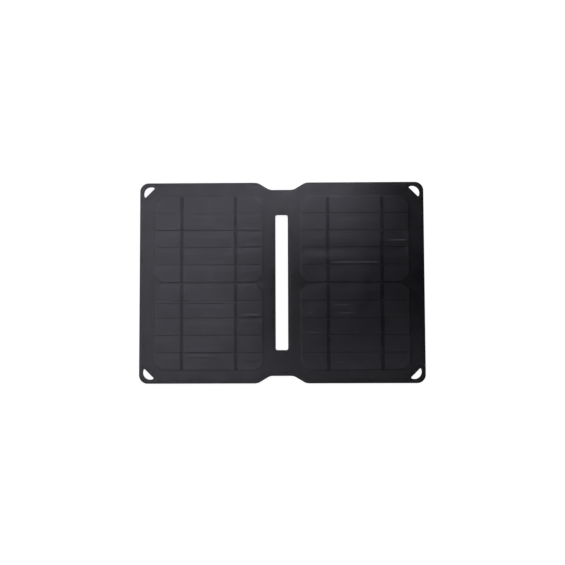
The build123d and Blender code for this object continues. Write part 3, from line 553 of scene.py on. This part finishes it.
def make_fold_conductors():
    """The two flat flexible conductors that cross the fold inside the webs, in one piece each."""
    half = FOLD_CONDUCTOR_WIDTH / 2
    far = LEAD_HIGH.x - GLUE_GAP
    mesh = bpy.data.meshes.new("fold_conductors")
    bm = bmesh.new()
    for sign in (-1, 1):
        y = sign * (LEAD_HIGH.y - half)
        rings = []
        for x in spread(-far, far, FOLD_STEP):
            corners = [
                (x, y + sy * half, z)
                for sy, z in ((-1, LEAD_LOW.z), (1, LEAD_LOW.z), (1, LEAD_HIGH.z), (-1, LEAD_HIGH.z))
            ]
            rings.append([bm.verts.new(corner) for corner in corners])
        loft(bm, rings)
    bm.to_mesh(mesh)
    bm.free()
    piece = new_piece("fold_conductors", mesh)
    wear(piece, "blackened_ribbon")
    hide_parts("left_fold_leads", "right_fold_leads")
    over_fold(piece)


def loft(bm, rings):
    """Faces between rings of vertices, and a cap at each end."""
    count = len(rings[0])
    for ring, after in zip(rings, rings[1:]):
        for k in range(count):
            j = (k + 1) % count
            bm.faces.new((ring[k], ring[j], after[j], after[k]))
    bm.faces.new(rings[0][::-1])
    bm.faces.new(rings[-1])
    bmesh.ops.recalc_face_normals(bm, faces=bm.faces)


# ---------------------------------------------------------------- the cloth back
def make_cloth():
    """The woven back, formed round the two stiff boards, with a pressed border."""
    board = max(edge_chains("right_stiffener_board", BOARD_LOW.z), key=len)
    board = divided(counter_clockwise(board), OUTLINE_STEP)
    boards = [board, counter_clockwise(board * (-1, 1))]
    rings = []
    for step in np.array([-0.25, 0.0, 0.25, 0.5, 0.75, 1.0]) * CLOTH_SLOPE:
        rings += [inset_ring(loop, step, outward=True) for loop in boards]
    x_lines = both_sides(spread(FOLD_HALF, FILM_HIGH.x - MM, CLOTH_STEP))
    x_lines += spread(-FOLD_HALF + FOLD_STEP, FOLD_HALF - FOLD_STEP, FOLD_STEP)
    y_lines = both_sides(spread(3 * MM, FILM_HIGH.y - MM, CLOTH_STEP))
    edge_steps = (0.12 * MM, 0.3 * MM, RIM_WIDTH, RIM_WIDTH + RIM_RUN)
    net = Net(x_lines, y_lines, rings=rings, edge_steps=edge_steps)
    outside = np.minimum.reduce(
        [np.where(is_inside(net.points, loop), -1, 1) * distance_to(net.points, loop) for loop in boards]
    )
    step_up = smooth(-0.1 * CLOTH_SLOPE, CLOTH_SLOPE, outside)
    border_z = BACKING_LOW.z - CLOTH_THICKNESS
    bottom = FABRIC_LOW.z + (border_z - FABRIC_LOW.z) * step_up
    top = np.minimum(bottom + CLOTH_THICKNESS, BACKING_LOW.z - GLUE_GAP)
    bottom = bottom + CLOTH_RIM_SINK * smooth(RIM_WIDTH + RIM_RUN, RIM_WIDTH, net.from_edge)
    bottom = bottom + edge_round(net, CLOTH_ROUND)
    piece = net.solid("rear_cloth", top, bottom)
    wear(piece, "coated_fabric")
    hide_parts("left_rear_fabric", "right_rear_fabric")
    over_fold(piece)


# ---------------------------------------------------------------- the rubber port cover
class Moulding:
    """A solid lofted along X through sections that stand round the port's axis height."""

    def __init__(self, z, edge):
        self.z = z
        self.edge = edge
        self.sections = []

    def add(self, x, half, y_out, y_in, edge=None):
        """A section at x: its outer edges are rounded, and its inner ones are square."""
        edge = self.edge if edge is None else edge
        edge = min(edge, half * 0.9, (y_in - y_out) * 0.45)
        low, high, cut = self.z - half, self.z + half, edge * 0.3
        self.sections.append([
            (x, y_in, low),
            (x, y_in, high),
            (x, y_out + edge, high),
            (x, y_out + cut, high - cut),
            (x, y_out, high - edge),
            (x, y_out, low + edge),
            (x, y_out + cut, low + cut),
            (x, y_out + edge, low),
        ])

    def round_end(self, x, direction, corner, half, y_out, y_in):
        """Sections for a rounded end at x; the body lies beyond it in the direction given, 1 or -1."""
        turns = np.linspace(0, math.pi / 2, 8)
        for turn in turns if direction > 0 else turns[::-1]:
            reach = corner * (1 - math.cos(turn))
            sunk = 0.5 * self.edge * (1 - math.sin(turn))
            self.add(x + direction * reach, half - corner * (1 - math.sin(turn)), y_out + sunk, y_in)

    def into(self, bm):
        """Adds the solid to a BMesh."""
        loft(bm, [[bm.verts.new(point) for point in section] for section in self.sections])


def make_port_cover():
    """One rubber moulding: a fixed tab, a strap that bends, and a cover with its plug and grip ribs."""
    hinge = Vector(JOINTS["usb_cover_flap"]["pos_m"])
    inset = 0.05 * MM
    face, seat = ANCHOR_LOW.y + inset, SHELL_LOW.y
    back = seat - GLUE_GAP
    tab_gap, plate_gap, reach = 1.9 * MM, 1.0 * MM, 1.1 * MM  # from the hinge line
    tab = (ANCHOR_LOW.x + inset, hinge.x - tab_gap)
    plate = (hinge.x + plate_gap, COVER_HIGH.x - inset)
    tab_half = (ANCHOR_HIGH.z - ANCHOR_LOW.z) / 2 - inset
    plate_half = (COVER_HIGH.z - COVER_LOW.z) / 2 - inset
    strap_half, strap_half_thickness = 2.4 * MM, 0.28 * MM
    strap_out, strap_in = hinge.y - strap_half_thickness, hinge.y + strap_half_thickness
    strap_edge, strap_step, strap_inset = 0.12 * MM, 0.16 * MM, 0.2 * MM
    tab_corner, plate_corner, strap_corner = 1.2 * MM, 1.4 * MM, 0.5 * MM
    rib_place, rib_pitch = 2.6 * MM, 1.1 * MM  # middle rib to the plate's end, and rib to rib
    barb_place = 0.75 * MM  # from the tab's middle
    bm = bmesh.new()
    body = Moulding(hinge.z, 0.35 * MM)
    body.round_end(tab[0], 1, tab_corner, tab_half, face, back)
    body.round_end(tab[1], -1, strap_corner, tab_half, face, back)
    for x in spread(tab[1] + strap_inset, plate[0] - strap_inset, strap_step):
        body.add(x, strap_half, strap_out, strap_in, strap_edge)
    body.round_end(plate[0], 1, strap_corner, plate_half, face, back)
    body.round_end(plate[1], -1, plate_corner, plate_half, face, back)
    body.into(bm)
    middle = (SHELL_LOW.x + SHELL_HIGH.x) / 2
    make_plug(bm, middle, hinge.z, seat)
    for step in (-1, 0, 1):
        make_grip_rib(bm, plate[1] - rib_place + step * rib_pitch, hinge.z, face)
    make_barb(bm, (ANCHOR_LOW.x + ANCHOR_HIGH.x) / 2 - barb_place, hinge.z, seat)
    mesh = bpy.data.meshes.new("port_cover")
    bm.to_mesh(mesh)
    bm.free()
    piece = new_piece("port_cover", mesh, smooth_angle=50)
    wear(piece, "black_rubber")
    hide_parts("usb_cover", "usb_cover_anchor")
    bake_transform(piece)


def ring_points(x, z, half_x, half_z, corner):
    """A rounded rectangle in X and Z, as (x, z) points."""
    found = []
    for quarter in range(4):
        for turn in np.linspace(0, math.pi / 2, 5) + quarter * math.pi / 2:
            sx = 1 if quarter in (0, 3) else -1
            sz = 1 if quarter in (0, 1) else -1
            found.append((
                x + sx * (half_x - corner) + corner * math.cos(turn),
                z + sz * (half_z - corner) + corner * math.sin(turn),
            ))
    return found


def stack(bm, levels):
    """A closed solid through rings of (x, z) points, each at its own y."""
    loft(bm, [[bm.verts.new((x, y, z)) for x, z in ring] for y, ring in levels])


def make_plug(bm, x, z, seat):
    """The hollow lip on the cover's inner face, which presses into the port."""
    half_x, half_z, depth, wall = 5.85 * MM, 2.15 * MM, 1.2 * MM, 0.9 * MM
    stack(bm, [
        (seat - 0.1 * MM, ring_points(x, z, half_x, half_z, 0.8 * MM)),
        (seat + depth - 0.25 * MM, ring_points(x, z, half_x, half_z, 0.8 * MM)),
        (seat + depth, ring_points(x, z, half_x - 0.25 * MM, half_z - 0.25 * MM, 0.6 * MM)),
        (seat + depth, ring_points(x, z, half_x - wall + 0.1 * MM, half_z - wall + 0.1 * MM, 0.3 * MM)),
        (seat + 0.3 * MM, ring_points(x, z, half_x - wall, half_z - wall, 0.3 * MM)),
    ])


def make_grip_rib(bm, x, z, face):
    """A low rounded rib that a fingernail catches."""
    half_x, half_z, height = 0.3 * MM, 2.2 * MM, 0.4 * MM
    stack(bm, [
        (face + 0.1 * MM, ring_points(x, z, half_x, half_z, 0.28 * MM)),
        (face - 0.6 * height, ring_points(x, z, half_x, half_z, 0.28 * MM)),
        (face - height, ring_points(x, z, half_x * 0.5, half_z - 0.2 * MM, 0.13 * MM)),
    ])


def make_barb(bm, x, z, seat):
    """The stem and barb that hold the tab in the box wall."""
    stem, barb = 1.1 * MM, 1.6 * MM
    levels = [(-0.1 * MM, stem), (0.85 * MM, stem), (0.9 * MM, barb), (1.6 * MM, stem)]
    stack(bm, [(seat + depth, ring_points(x, z, r, r, r * 0.98)) for depth, r in levels])


# ---------------------------------------------------------------- materials
def new_material(name, color, roughness, metallic=0.0, specular=0.5, **constants):
    """A material whose Principled shader has these values, and others given by their sockets' names."""
    material = bpy.data.materials.new(name)
    material.use_nodes = True
    shader = material.node_tree.nodes["Principled BSDF"]
    shader.inputs["Base Color"].default_value = (*color, 1)
    shader.inputs["Roughness"].default_value = roughness
    shader.inputs["Metallic"].default_value = metallic
    shader.inputs["Specular IOR Level"].default_value = specular
    for key, value in constants.items():
        shader.inputs[key.replace("_", " ")].default_value = value
    return material


class Nodes:
    """Short calls for building a material's node tree in object coordinates, in millimetres."""

    def __init__(self, material):
        self.tree = material.node_tree
        self.shader = self.tree.nodes["Principled BSDF"]
        texture = self.tree.nodes.new("ShaderNodeTexCoord")
        scale = self.tree.nodes.new("ShaderNodeVectorMath")
        scale.operation = "SCALE"
        scale.inputs["Scale"].default_value = 1 / MM
        self.link(texture.outputs["Object"], scale.inputs[0])
        self.place = scale.outputs[0]

    def link(self, source, target):
        self.tree.links.new(source, target)

    def give(self, socket, value):
        """Sets a socket from another node's output or from a plain value."""
        if isinstance(value, bpy.types.NodeSocket):
            self.link(value, socket)
        else:
            socket.default_value = value

    def stretched(self, x, y):
        """The place, with X and Y scaled."""
        node = self.tree.nodes.new("ShaderNodeVectorMath")
        node.operation = "MULTIPLY"
        self.link(self.place, node.inputs[0])
        node.inputs[1].default_value = (x, y, 1.0)
        return node.outputs[0]

    def part(self, axis):
        """One coordinate of the place."""
        node = self.tree.nodes.new("ShaderNodeSeparateXYZ")
        self.link(self.place, node.inputs[0])
        return node.outputs[axis]

    def noise(self, size, detail, place=None):
        """Noise from 0 to 1 with features of about size millimetres."""
        node = self.tree.nodes.new("ShaderNodeTexNoise")
        self.link(place or self.place, node.inputs["Vector"])
        node.inputs["Scale"].default_value = 1 / size
        node.inputs["Detail"].default_value = detail
        return node.outputs["Fac"]

    def math(self, operation, a, b=0.0, c=0.0):
        """A Math node's result."""
        node = self.tree.nodes.new("ShaderNodeMath")
        node.operation = operation
        for socket, value in zip(node.inputs, (a, b, c)):
            self.give(socket, value)
        return node.outputs[0]

    def between(self, value, low, high, to_low=0.0, to_high=1.0, smooth_step=True):
        """Maps a value's range onto another one."""
        node = self.tree.nodes.new("ShaderNodeMapRange")
        node.interpolation_type = "SMOOTHSTEP" if smooth_step else "LINEAR"
        for socket, given in zip(node.inputs, (value, low, high, to_low, to_high)):
            self.give(socket, given)
        return node.outputs[0]

    def mix(self, share, a, b):
        """A colour between a and b."""
        node = self.tree.nodes.new("ShaderNodeMix")
        node.data_type = "RGBA"
        self.give(node.inputs[0], share)
        for socket, value in zip((node.inputs[6], node.inputs[7]), (a, b)):
            self.give(socket, value if isinstance(value, bpy.types.NodeSocket) else (*value, 1))
        return node.outputs[2]

    def color(self, output):
        self.link(output, self.shader.inputs["Base Color"])

    def roughness(self, output):
        self.link(output, self.shader.inputs["Roughness"])

    def bump(self, height, depth):
        """Surface relief from a height of 0 to 1 that stands for depth millimetres."""
        node = self.tree.nodes.new("ShaderNodeBump")
        node.inputs["Distance"].default_value = depth * MM
        self.link(height, node.inputs["Height"])
        self.link(node.outputs[0], self.shader.inputs["Normal"])


def clear_film():
    """Matt clear film: smoky, with a fine pebbled face and faint streaks along the strips."""
    material = new_material("clear_film", (0.012, 0.012, 0.014), 0.21, specular=1.0, IOR=1.62, Alpha=0.25)
    nodes = Nodes(material)
    pebbles = nodes.noise(0.9, 2.0)
    streaks = nodes.noise(1.0, 3.0, nodes.stretched(0.03, 0.9))
    height = nodes.math("MULTIPLY_ADD", streaks, 1.6, pebbles)
    nodes.bump(height, 0.005)
    nodes.roughness(nodes.between(nodes.noise(26.0, 3.0), 0.3, 0.7, 0.18, 0.24))
    return material


def black_cell():
    """Black monocrystalline silicon with a fine metal finger every 2 mm."""
    material = new_material("black_cell", (0.06, 0.06, 0.07), 0.45, specular=0.05)
    nodes = Nodes(material)
    y = nodes.part("Y")
    finger = nodes.math("PINGPONG", nodes.math("ADD", y, 400.0), 1.0)
    finger = nodes.between(finger, 0.90, 0.97)
    grain = nodes.noise(7.0, 4.0, nodes.stretched(0.25, 1.0))
    tone = nodes.mix(grain, (0.054, 0.055, 0.063), (0.066, 0.067, 0.075))
    nodes.color(nodes.mix(nodes.math("MULTIPLY", finger, 0.5), tone, (0.11, 0.11, 0.12)))
    nodes.roughness(nodes.between(finger, 0.0, 1.0, 0.45, 0.33))
    nodes.bump(finger, 0.012)
    return material


def blackened_ribbon():
    """Copper ribbon with a black coating, rolled lengthways."""
    material = new_material("blackened_ribbon", (0.006, 0.006, 0.007), 0.35, specular=0.12)
    nodes = Nodes(material)
    rolled = nodes.noise(0.5, 2.0, nodes.stretched(1.0, 0.04))
    nodes.color(nodes.mix(rolled, (0.004, 0.004, 0.005), (0.009, 0.009, 0.010)))
    nodes.bump(rolled, 0.006)
    return material


def black_backing():
    """Black backing sheet with a fine grain."""
    material = new_material("black_backing", (0.010, 0.010, 0.011), 0.5, specular=0.12)
    nodes = Nodes(material)
    grain = nodes.noise(0.7, 3.0)
    cloud = nodes.noise(30.0, 3.0)
    nodes.color(nodes.mix(cloud, (0.008, 0.008, 0.009), (0.012, 0.012, 0.013)))
    nodes.bump(grain, 0.012)
    return material


def coated_fabric():
    """Plain-woven black polyester, with crossing threads, a slub here and there, and a dull sheen. Its colour
    holds painted shade: each thread is darker where it dips between the others and lighter on its crown.
    """
    material = new_material("coated_fabric", (0.02, 0.02, 0.022), 0.72, specular=0.3, Sheen_Weight=0.25)
    nodes = Nodes(material)
    pitch = 0.62
    warp = nodes.math("SINE", nodes.math("MULTIPLY", nodes.part("X"), math.tau / pitch))
    weft = nodes.math("SINE", nodes.math("MULTIPLY", nodes.part("Y"), math.tau / pitch))
    x_half = nodes.math("SINE", nodes.math("MULTIPLY", nodes.part("X"), math.pi / pitch))
    y_half = nodes.math("SINE", nodes.math("MULTIPLY", nodes.part("Y"), math.pi / pitch))
    over = nodes.math("GREATER_THAN", nodes.math("MULTIPLY", x_half, y_half), 0.0)
    threads = nodes.between(over, 0, 1, warp, weft, smooth_step=False)
    height = nodes.math("MULTIPLY_ADD", threads, 0.5, 0.5)
    slub = nodes.noise(5.0, 3.0, nodes.stretched(1.0, 0.15))
    # painted shade: the colour follows the threads' height, darker in the dips between threads, lighter on their
    # crowns
    tone = nodes.mix(height, (0.010, 0.010, 0.011), (0.030, 0.030, 0.032))
    nodes.color(nodes.mix(nodes.math("MULTIPLY", slub, 0.35), tone, (0.014, 0.014, 0.015)))
    nodes.bump(nodes.math("MULTIPLY_ADD", slub, 0.4, height), 0.10)
    return material


def moulded_plastic(name, dark, light, roughness, texture):
    """Moulded plastic with a fine spark-eroded texture."""
    material = new_material(name, light, roughness, specular=0.45)
    nodes = Nodes(material)
    grain = nodes.noise(0.35, 2.0)
    nodes.color(nodes.mix(nodes.noise(9.0, 3.0), dark, light))
    nodes.roughness(nodes.between(grain, 0.3, 0.7, roughness - 0.06, roughness + 0.06))
    nodes.bump(grain, texture)
    return material


def black_rubber():
    """Black silicone rubber: dull, with a fine mould texture and a dusting of lighter handling marks."""
    material = new_material("black_rubber", (0.02, 0.02, 0.021), 0.6, specular=0.35, Sheen_Weight=0.15)
    nodes = Nodes(material)
    marks = nodes.between(nodes.noise(2.6, 4.0), 0.55, 0.8)
    nodes.color(nodes.mix(marks, (0.014, 0.014, 0.015), (0.03, 0.03, 0.032)))
    nodes.roughness(nodes.between(marks, 0, 1, 0.56, 0.7))
    nodes.bump(nodes.noise(0.16, 2.0), 0.012)
    return material


def metal(name, dark, light, roughness):
    """Rolled metal with faint lengthways scratches."""
    material = new_material(name, light, roughness, metallic=1.0)
    nodes = Nodes(material)
    scratches = nodes.noise(0.4, 3.0, nodes.stretched(1.0, 0.06))
    nodes.color(nodes.mix(scratches, dark, light))
    nodes.roughness(nodes.between(scratches, 0.2, 0.8, roughness - 0.07, roughness + 0.07))
    nodes.bump(scratches, 0.004)
    return material


def clear_plastic():
    """The light pipe: milky clear plastic."""
    material = new_material("clear_plastic", (0.62, 0.65, 0.66), 0.18, Transmission_Weight=0.6)
    nodes = Nodes(material)
    nodes.color(nodes.mix(nodes.noise(1.5, 2.0), (0.55, 0.58, 0.6), (0.72, 0.74, 0.75)))
    return material


# Name, darkest and lightest colour, roughness, and depth of the surface texture in millimetres.
MOULDED = [
    ("stiff_board", (0.03, 0.03, 0.03), (0.05, 0.05, 0.05), 0.6, 0.02),
    ("red_insulation", (0.30, 0.010, 0.010), (0.45, 0.020, 0.015), 0.45, 0.01),
    ("black_insulation", (0.012, 0.012, 0.012), (0.02, 0.02, 0.02), 0.45, 0.01),
    ("seal_rubber", (0.05, 0.05, 0.05), (0.07, 0.07, 0.07), 0.6, 0.02),
    ("adhesive_foam", (0.03, 0.03, 0.03), (0.05, 0.05, 0.05), 0.8, 0.05),
    ("box_plastic", (0.014, 0.014, 0.015), (0.021, 0.021, 0.022), 0.48, 0.03),
    ("circuit_laminate", (0.006, 0.06, 0.03), (0.01, 0.09, 0.045), 0.35, 0.01),
    ("port_insulator", (0.012, 0.012, 0.012), (0.02, 0.02, 0.02), 0.4, 0.01),
    ("ferrite", (0.03, 0.03, 0.032), (0.05, 0.05, 0.052), 0.7, 0.03),
    ("chip_epoxy", (0.012, 0.012, 0.013), (0.02, 0.02, 0.021), 0.55, 0.01),
    ("chip_ceramic", (0.02, 0.02, 0.022), (0.035, 0.035, 0.038), 0.5, 0.01),
    ("lamp_resin", (0.7, 0.7, 0.62), (0.85, 0.85, 0.78), 0.3, 0.005),
]

# Name, colour in the scratches and between them, and roughness.
METALS = [
    ("tinned_copper", (0.55, 0.54, 0.5), (0.75, 0.74, 0.7), 0.35),
    ("screw_steel", (0.05, 0.05, 0.052), (0.11, 0.11, 0.115), 0.38),
    ("port_steel", (0.5, 0.5, 0.5), (0.72, 0.72, 0.72), 0.25),
    ("gold_contact", (0.7, 0.48, 0.16), (0.85, 0.62, 0.25), 0.25),
    ("can_aluminium", (0.6, 0.6, 0.61), (0.8, 0.8, 0.81), 0.3),
]


def make_materials():
    """A material for every slot in the record, by the slot's name."""
    for imported in list(bpy.data.materials):
        bpy.data.materials.remove(imported)
    skin = [clear_film, black_cell, blackened_ribbon, black_backing, coated_fabric]
    made = {maker.__name__: maker() for maker in [*skin, black_rubber, clear_plastic]}
    for name, dark, light, roughness, texture in MOULDED:
        made[name] = moulded_plastic(name, dark, light, roughness, texture)
    for name, dark, light, roughness in METALS:
        made[name] = metal(name, dark, light, roughness)
    return made


def finish_cad_nodes():
    """Every CAD node wears the material of its slot."""
    for row in frame["record"]["subparts"]:
        mesh = frame["nodes"][row["node"]].data
        mesh.materials.clear()
        mesh.materials.append(MATERIALS[row["material_slot"]])


# ---------------------------------------------------------------- floor, light and camera
FLOOR_SIZE = 6.0
FLOOR_GAP = 0.2 * MM
FLOOR_GLOW = 0.96
LIGHT_HEIGHT = 2.0
LIGHT_TINT = (0.895, 0.87, 1.0)

CAMERA_TARGET = (0.87 * MM, -0.27 * MM, FILM_HIGH.z)
CAMERA_DISTANCE = 0.9
CAMERA_FIELD = 0.6539  # width of what it sees at that distance
CAMERA_SENSOR = 36.0  # in millimetres
CAMERA_LEAN = (3.25, 0.77)  # round X and round Y, in degrees
CAMERA_ROLL = -0.245  # round its line of sight, in degrees

# Name, span across X, span along Y, and brightness of the face.
SOFTBOXES = [
    ("upper_key", (-1.3, -0.13), (0.32, 0.64), 1.72),
    ("middle_key", (-1.3, -0.13), (0.1, 0.32), 1.34),
    ("lower_key", (-1.3, -0.13), (-0.42, 0.1), 1.19),
    ("top_strip", (-0.13, 0.28), (0.32, 0.75), 2.05),
    ("fold_strip", (-0.13, 0.06), (-0.05, 0.32), 0.15),
    ("low_fold_strip", (-0.13, 0.03), (-0.42, -0.16), 1.15),
    ("low_strip", (0.03, 0.6), (-0.36, -0.13), 0.6),
    ("glint_strip", (-1.3, 0.7), (0.8, 1.3), 2.8),
]


def make_floor():
    """A white light table under the charger, which can be seen through from below."""
    mesh = bpy.data.meshes.new("floor")
    half = FLOOR_SIZE / 2
    corners = [(-half, -half, 0), (half, -half, 0), (half, half, 0), (-half, half, 0)]
    mesh.from_pydata(corners, [], [(0, 1, 2, 3)])
    floor = bpy.data.objects.new("floor", mesh)
    floor.location.z = -FLOOR_GAP
    bpy.context.scene.collection.objects.link(floor)
    material = new_material("white_floor", (0.3, 0.3, 0.3), 0.9, specular=0.0)
    tree = material.node_tree
    shader = tree.nodes["Principled BSDF"]
    shader.inputs["Emission Color"].default_value = (1, 1, 1, 1)
    shader.inputs["Emission Strength"].default_value = FLOOR_GLOW
    geometry = tree.nodes.new("ShaderNodeNewGeometry")
    clear = tree.nodes.new("ShaderNodeBsdfTransparent")
    mix = tree.nodes.new("ShaderNodeMixShader")
    tree.links.new(geometry.outputs["Backfacing"], mix.inputs[0])
    tree.links.new(shader.outputs[0], mix.inputs[1])
    tree.links.new(clear.outputs[0], mix.inputs[2])
    tree.links.new(mix.outputs[0], tree.nodes["Material Output"].inputs["Surface"])
    mesh.materials.append(material)


def make_softbox(name, x_span, y_span, radiance):
    """A level soft light over a rectangle of the ceiling, with a given brightness at its face."""
    light = bpy.data.lights.new(name, "AREA")
    light.shape = "RECTANGLE"
    light.size, light.size_y = x_span[1] - x_span[0], y_span[1] - y_span[0]
    light.energy = radiance * math.pi * light.size * light.size_y
    light.color = LIGHT_TINT
    lamp = bpy.data.objects.new(name, light)
    lamp.location = (sum(x_span) / 2, sum(y_span) / 2, LIGHT_HEIGHT)
    bpy.context.scene.collection.objects.link(lamp)


def make_world():
    """A dark studio overhead that brightens towards the horizon, and a pale backdrop behind the object."""
    world = bpy.data.worlds.new("studio")
    bpy.context.scene.world = world
    world.use_nodes = True
    tree = world.node_tree
    place = tree.nodes.new("ShaderNodeTexCoord")
    split = tree.nodes.new("ShaderNodeSeparateXYZ")
    ramp = tree.nodes.new("ShaderNodeMapRange")
    ramp.interpolation_type = "SMOOTHSTEP"
    low, high, horizon, overhead = 0.12, 0.5, 0.34, 0.01
    for socket, value in zip(ramp.inputs[1:], (low, high, horizon, overhead)):
        socket.default_value = value
    kinds = ("LightPath", "Background", "MixShader")
    path, backdrop, mix = (tree.nodes.new(f"ShaderNode{kind}") for kind in kinds)
    background = tree.nodes["Background"]
    background.inputs["Color"].default_value = backdrop.inputs["Color"].default_value = (1, 1, 1, 1)
    backdrop.inputs["Strength"].default_value = 0.95
    tree.links.new(place.outputs["Generated"], split.inputs[0])
    tree.links.new(split.outputs["Z"], ramp.inputs[0])
    tree.links.new(ramp.outputs[0], background.inputs["Strength"])
    tree.links.new(path.outputs["Is Camera Ray"], mix.inputs[0])
    tree.links.new(background.outputs[0], mix.inputs[1])
    tree.links.new(backdrop.outputs[0], mix.inputs[2])
    tree.links.new(mix.outputs[0], tree.nodes["World Output"].inputs["Surface"])


def make_camera():
    """Straight over the charger, leaning a little from its near side and its right."""
    target = Matrix.Translation(CAMERA_TARGET)
    round_x, round_y = (math.radians(turn) for turn in CAMERA_LEAN)
    lean = Matrix.Rotation(round_x, 4, "X") @ Matrix.Rotation(round_y, 4, "Y")
    back = Matrix.Translation((0, 0, CAMERA_DISTANCE))
    roll = Matrix.Rotation(math.radians(CAMERA_ROLL), 4, "Z")
    camera = bpy.data.cameras.new("camera")
    camera.sensor_width = CAMERA_SENSOR
    camera.lens = CAMERA_SENSOR * CAMERA_DISTANCE / CAMERA_FIELD
    rig = bpy.data.objects.new("camera", camera)
    rig.matrix_world = target @ lean @ back @ roll
    bpy.context.scene.collection.objects.link(rig)
    bpy.context.scene.camera = rig


def make_scene():
    """Camera, floor, lights and colour settings."""
    make_camera()
    make_floor()
    make_world()
    for softbox in SOFTBOXES:
        make_softbox(*softbox)
    settings = bpy.context.scene.view_settings
    settings.view_transform = "Standard"
    settings.look = "None"


MATERIALS = make_materials()
make_laminate()
make_backing()
make_fold_conductors()
make_cloth()
make_port_cover()
finish_cad_nodes()
make_scene()
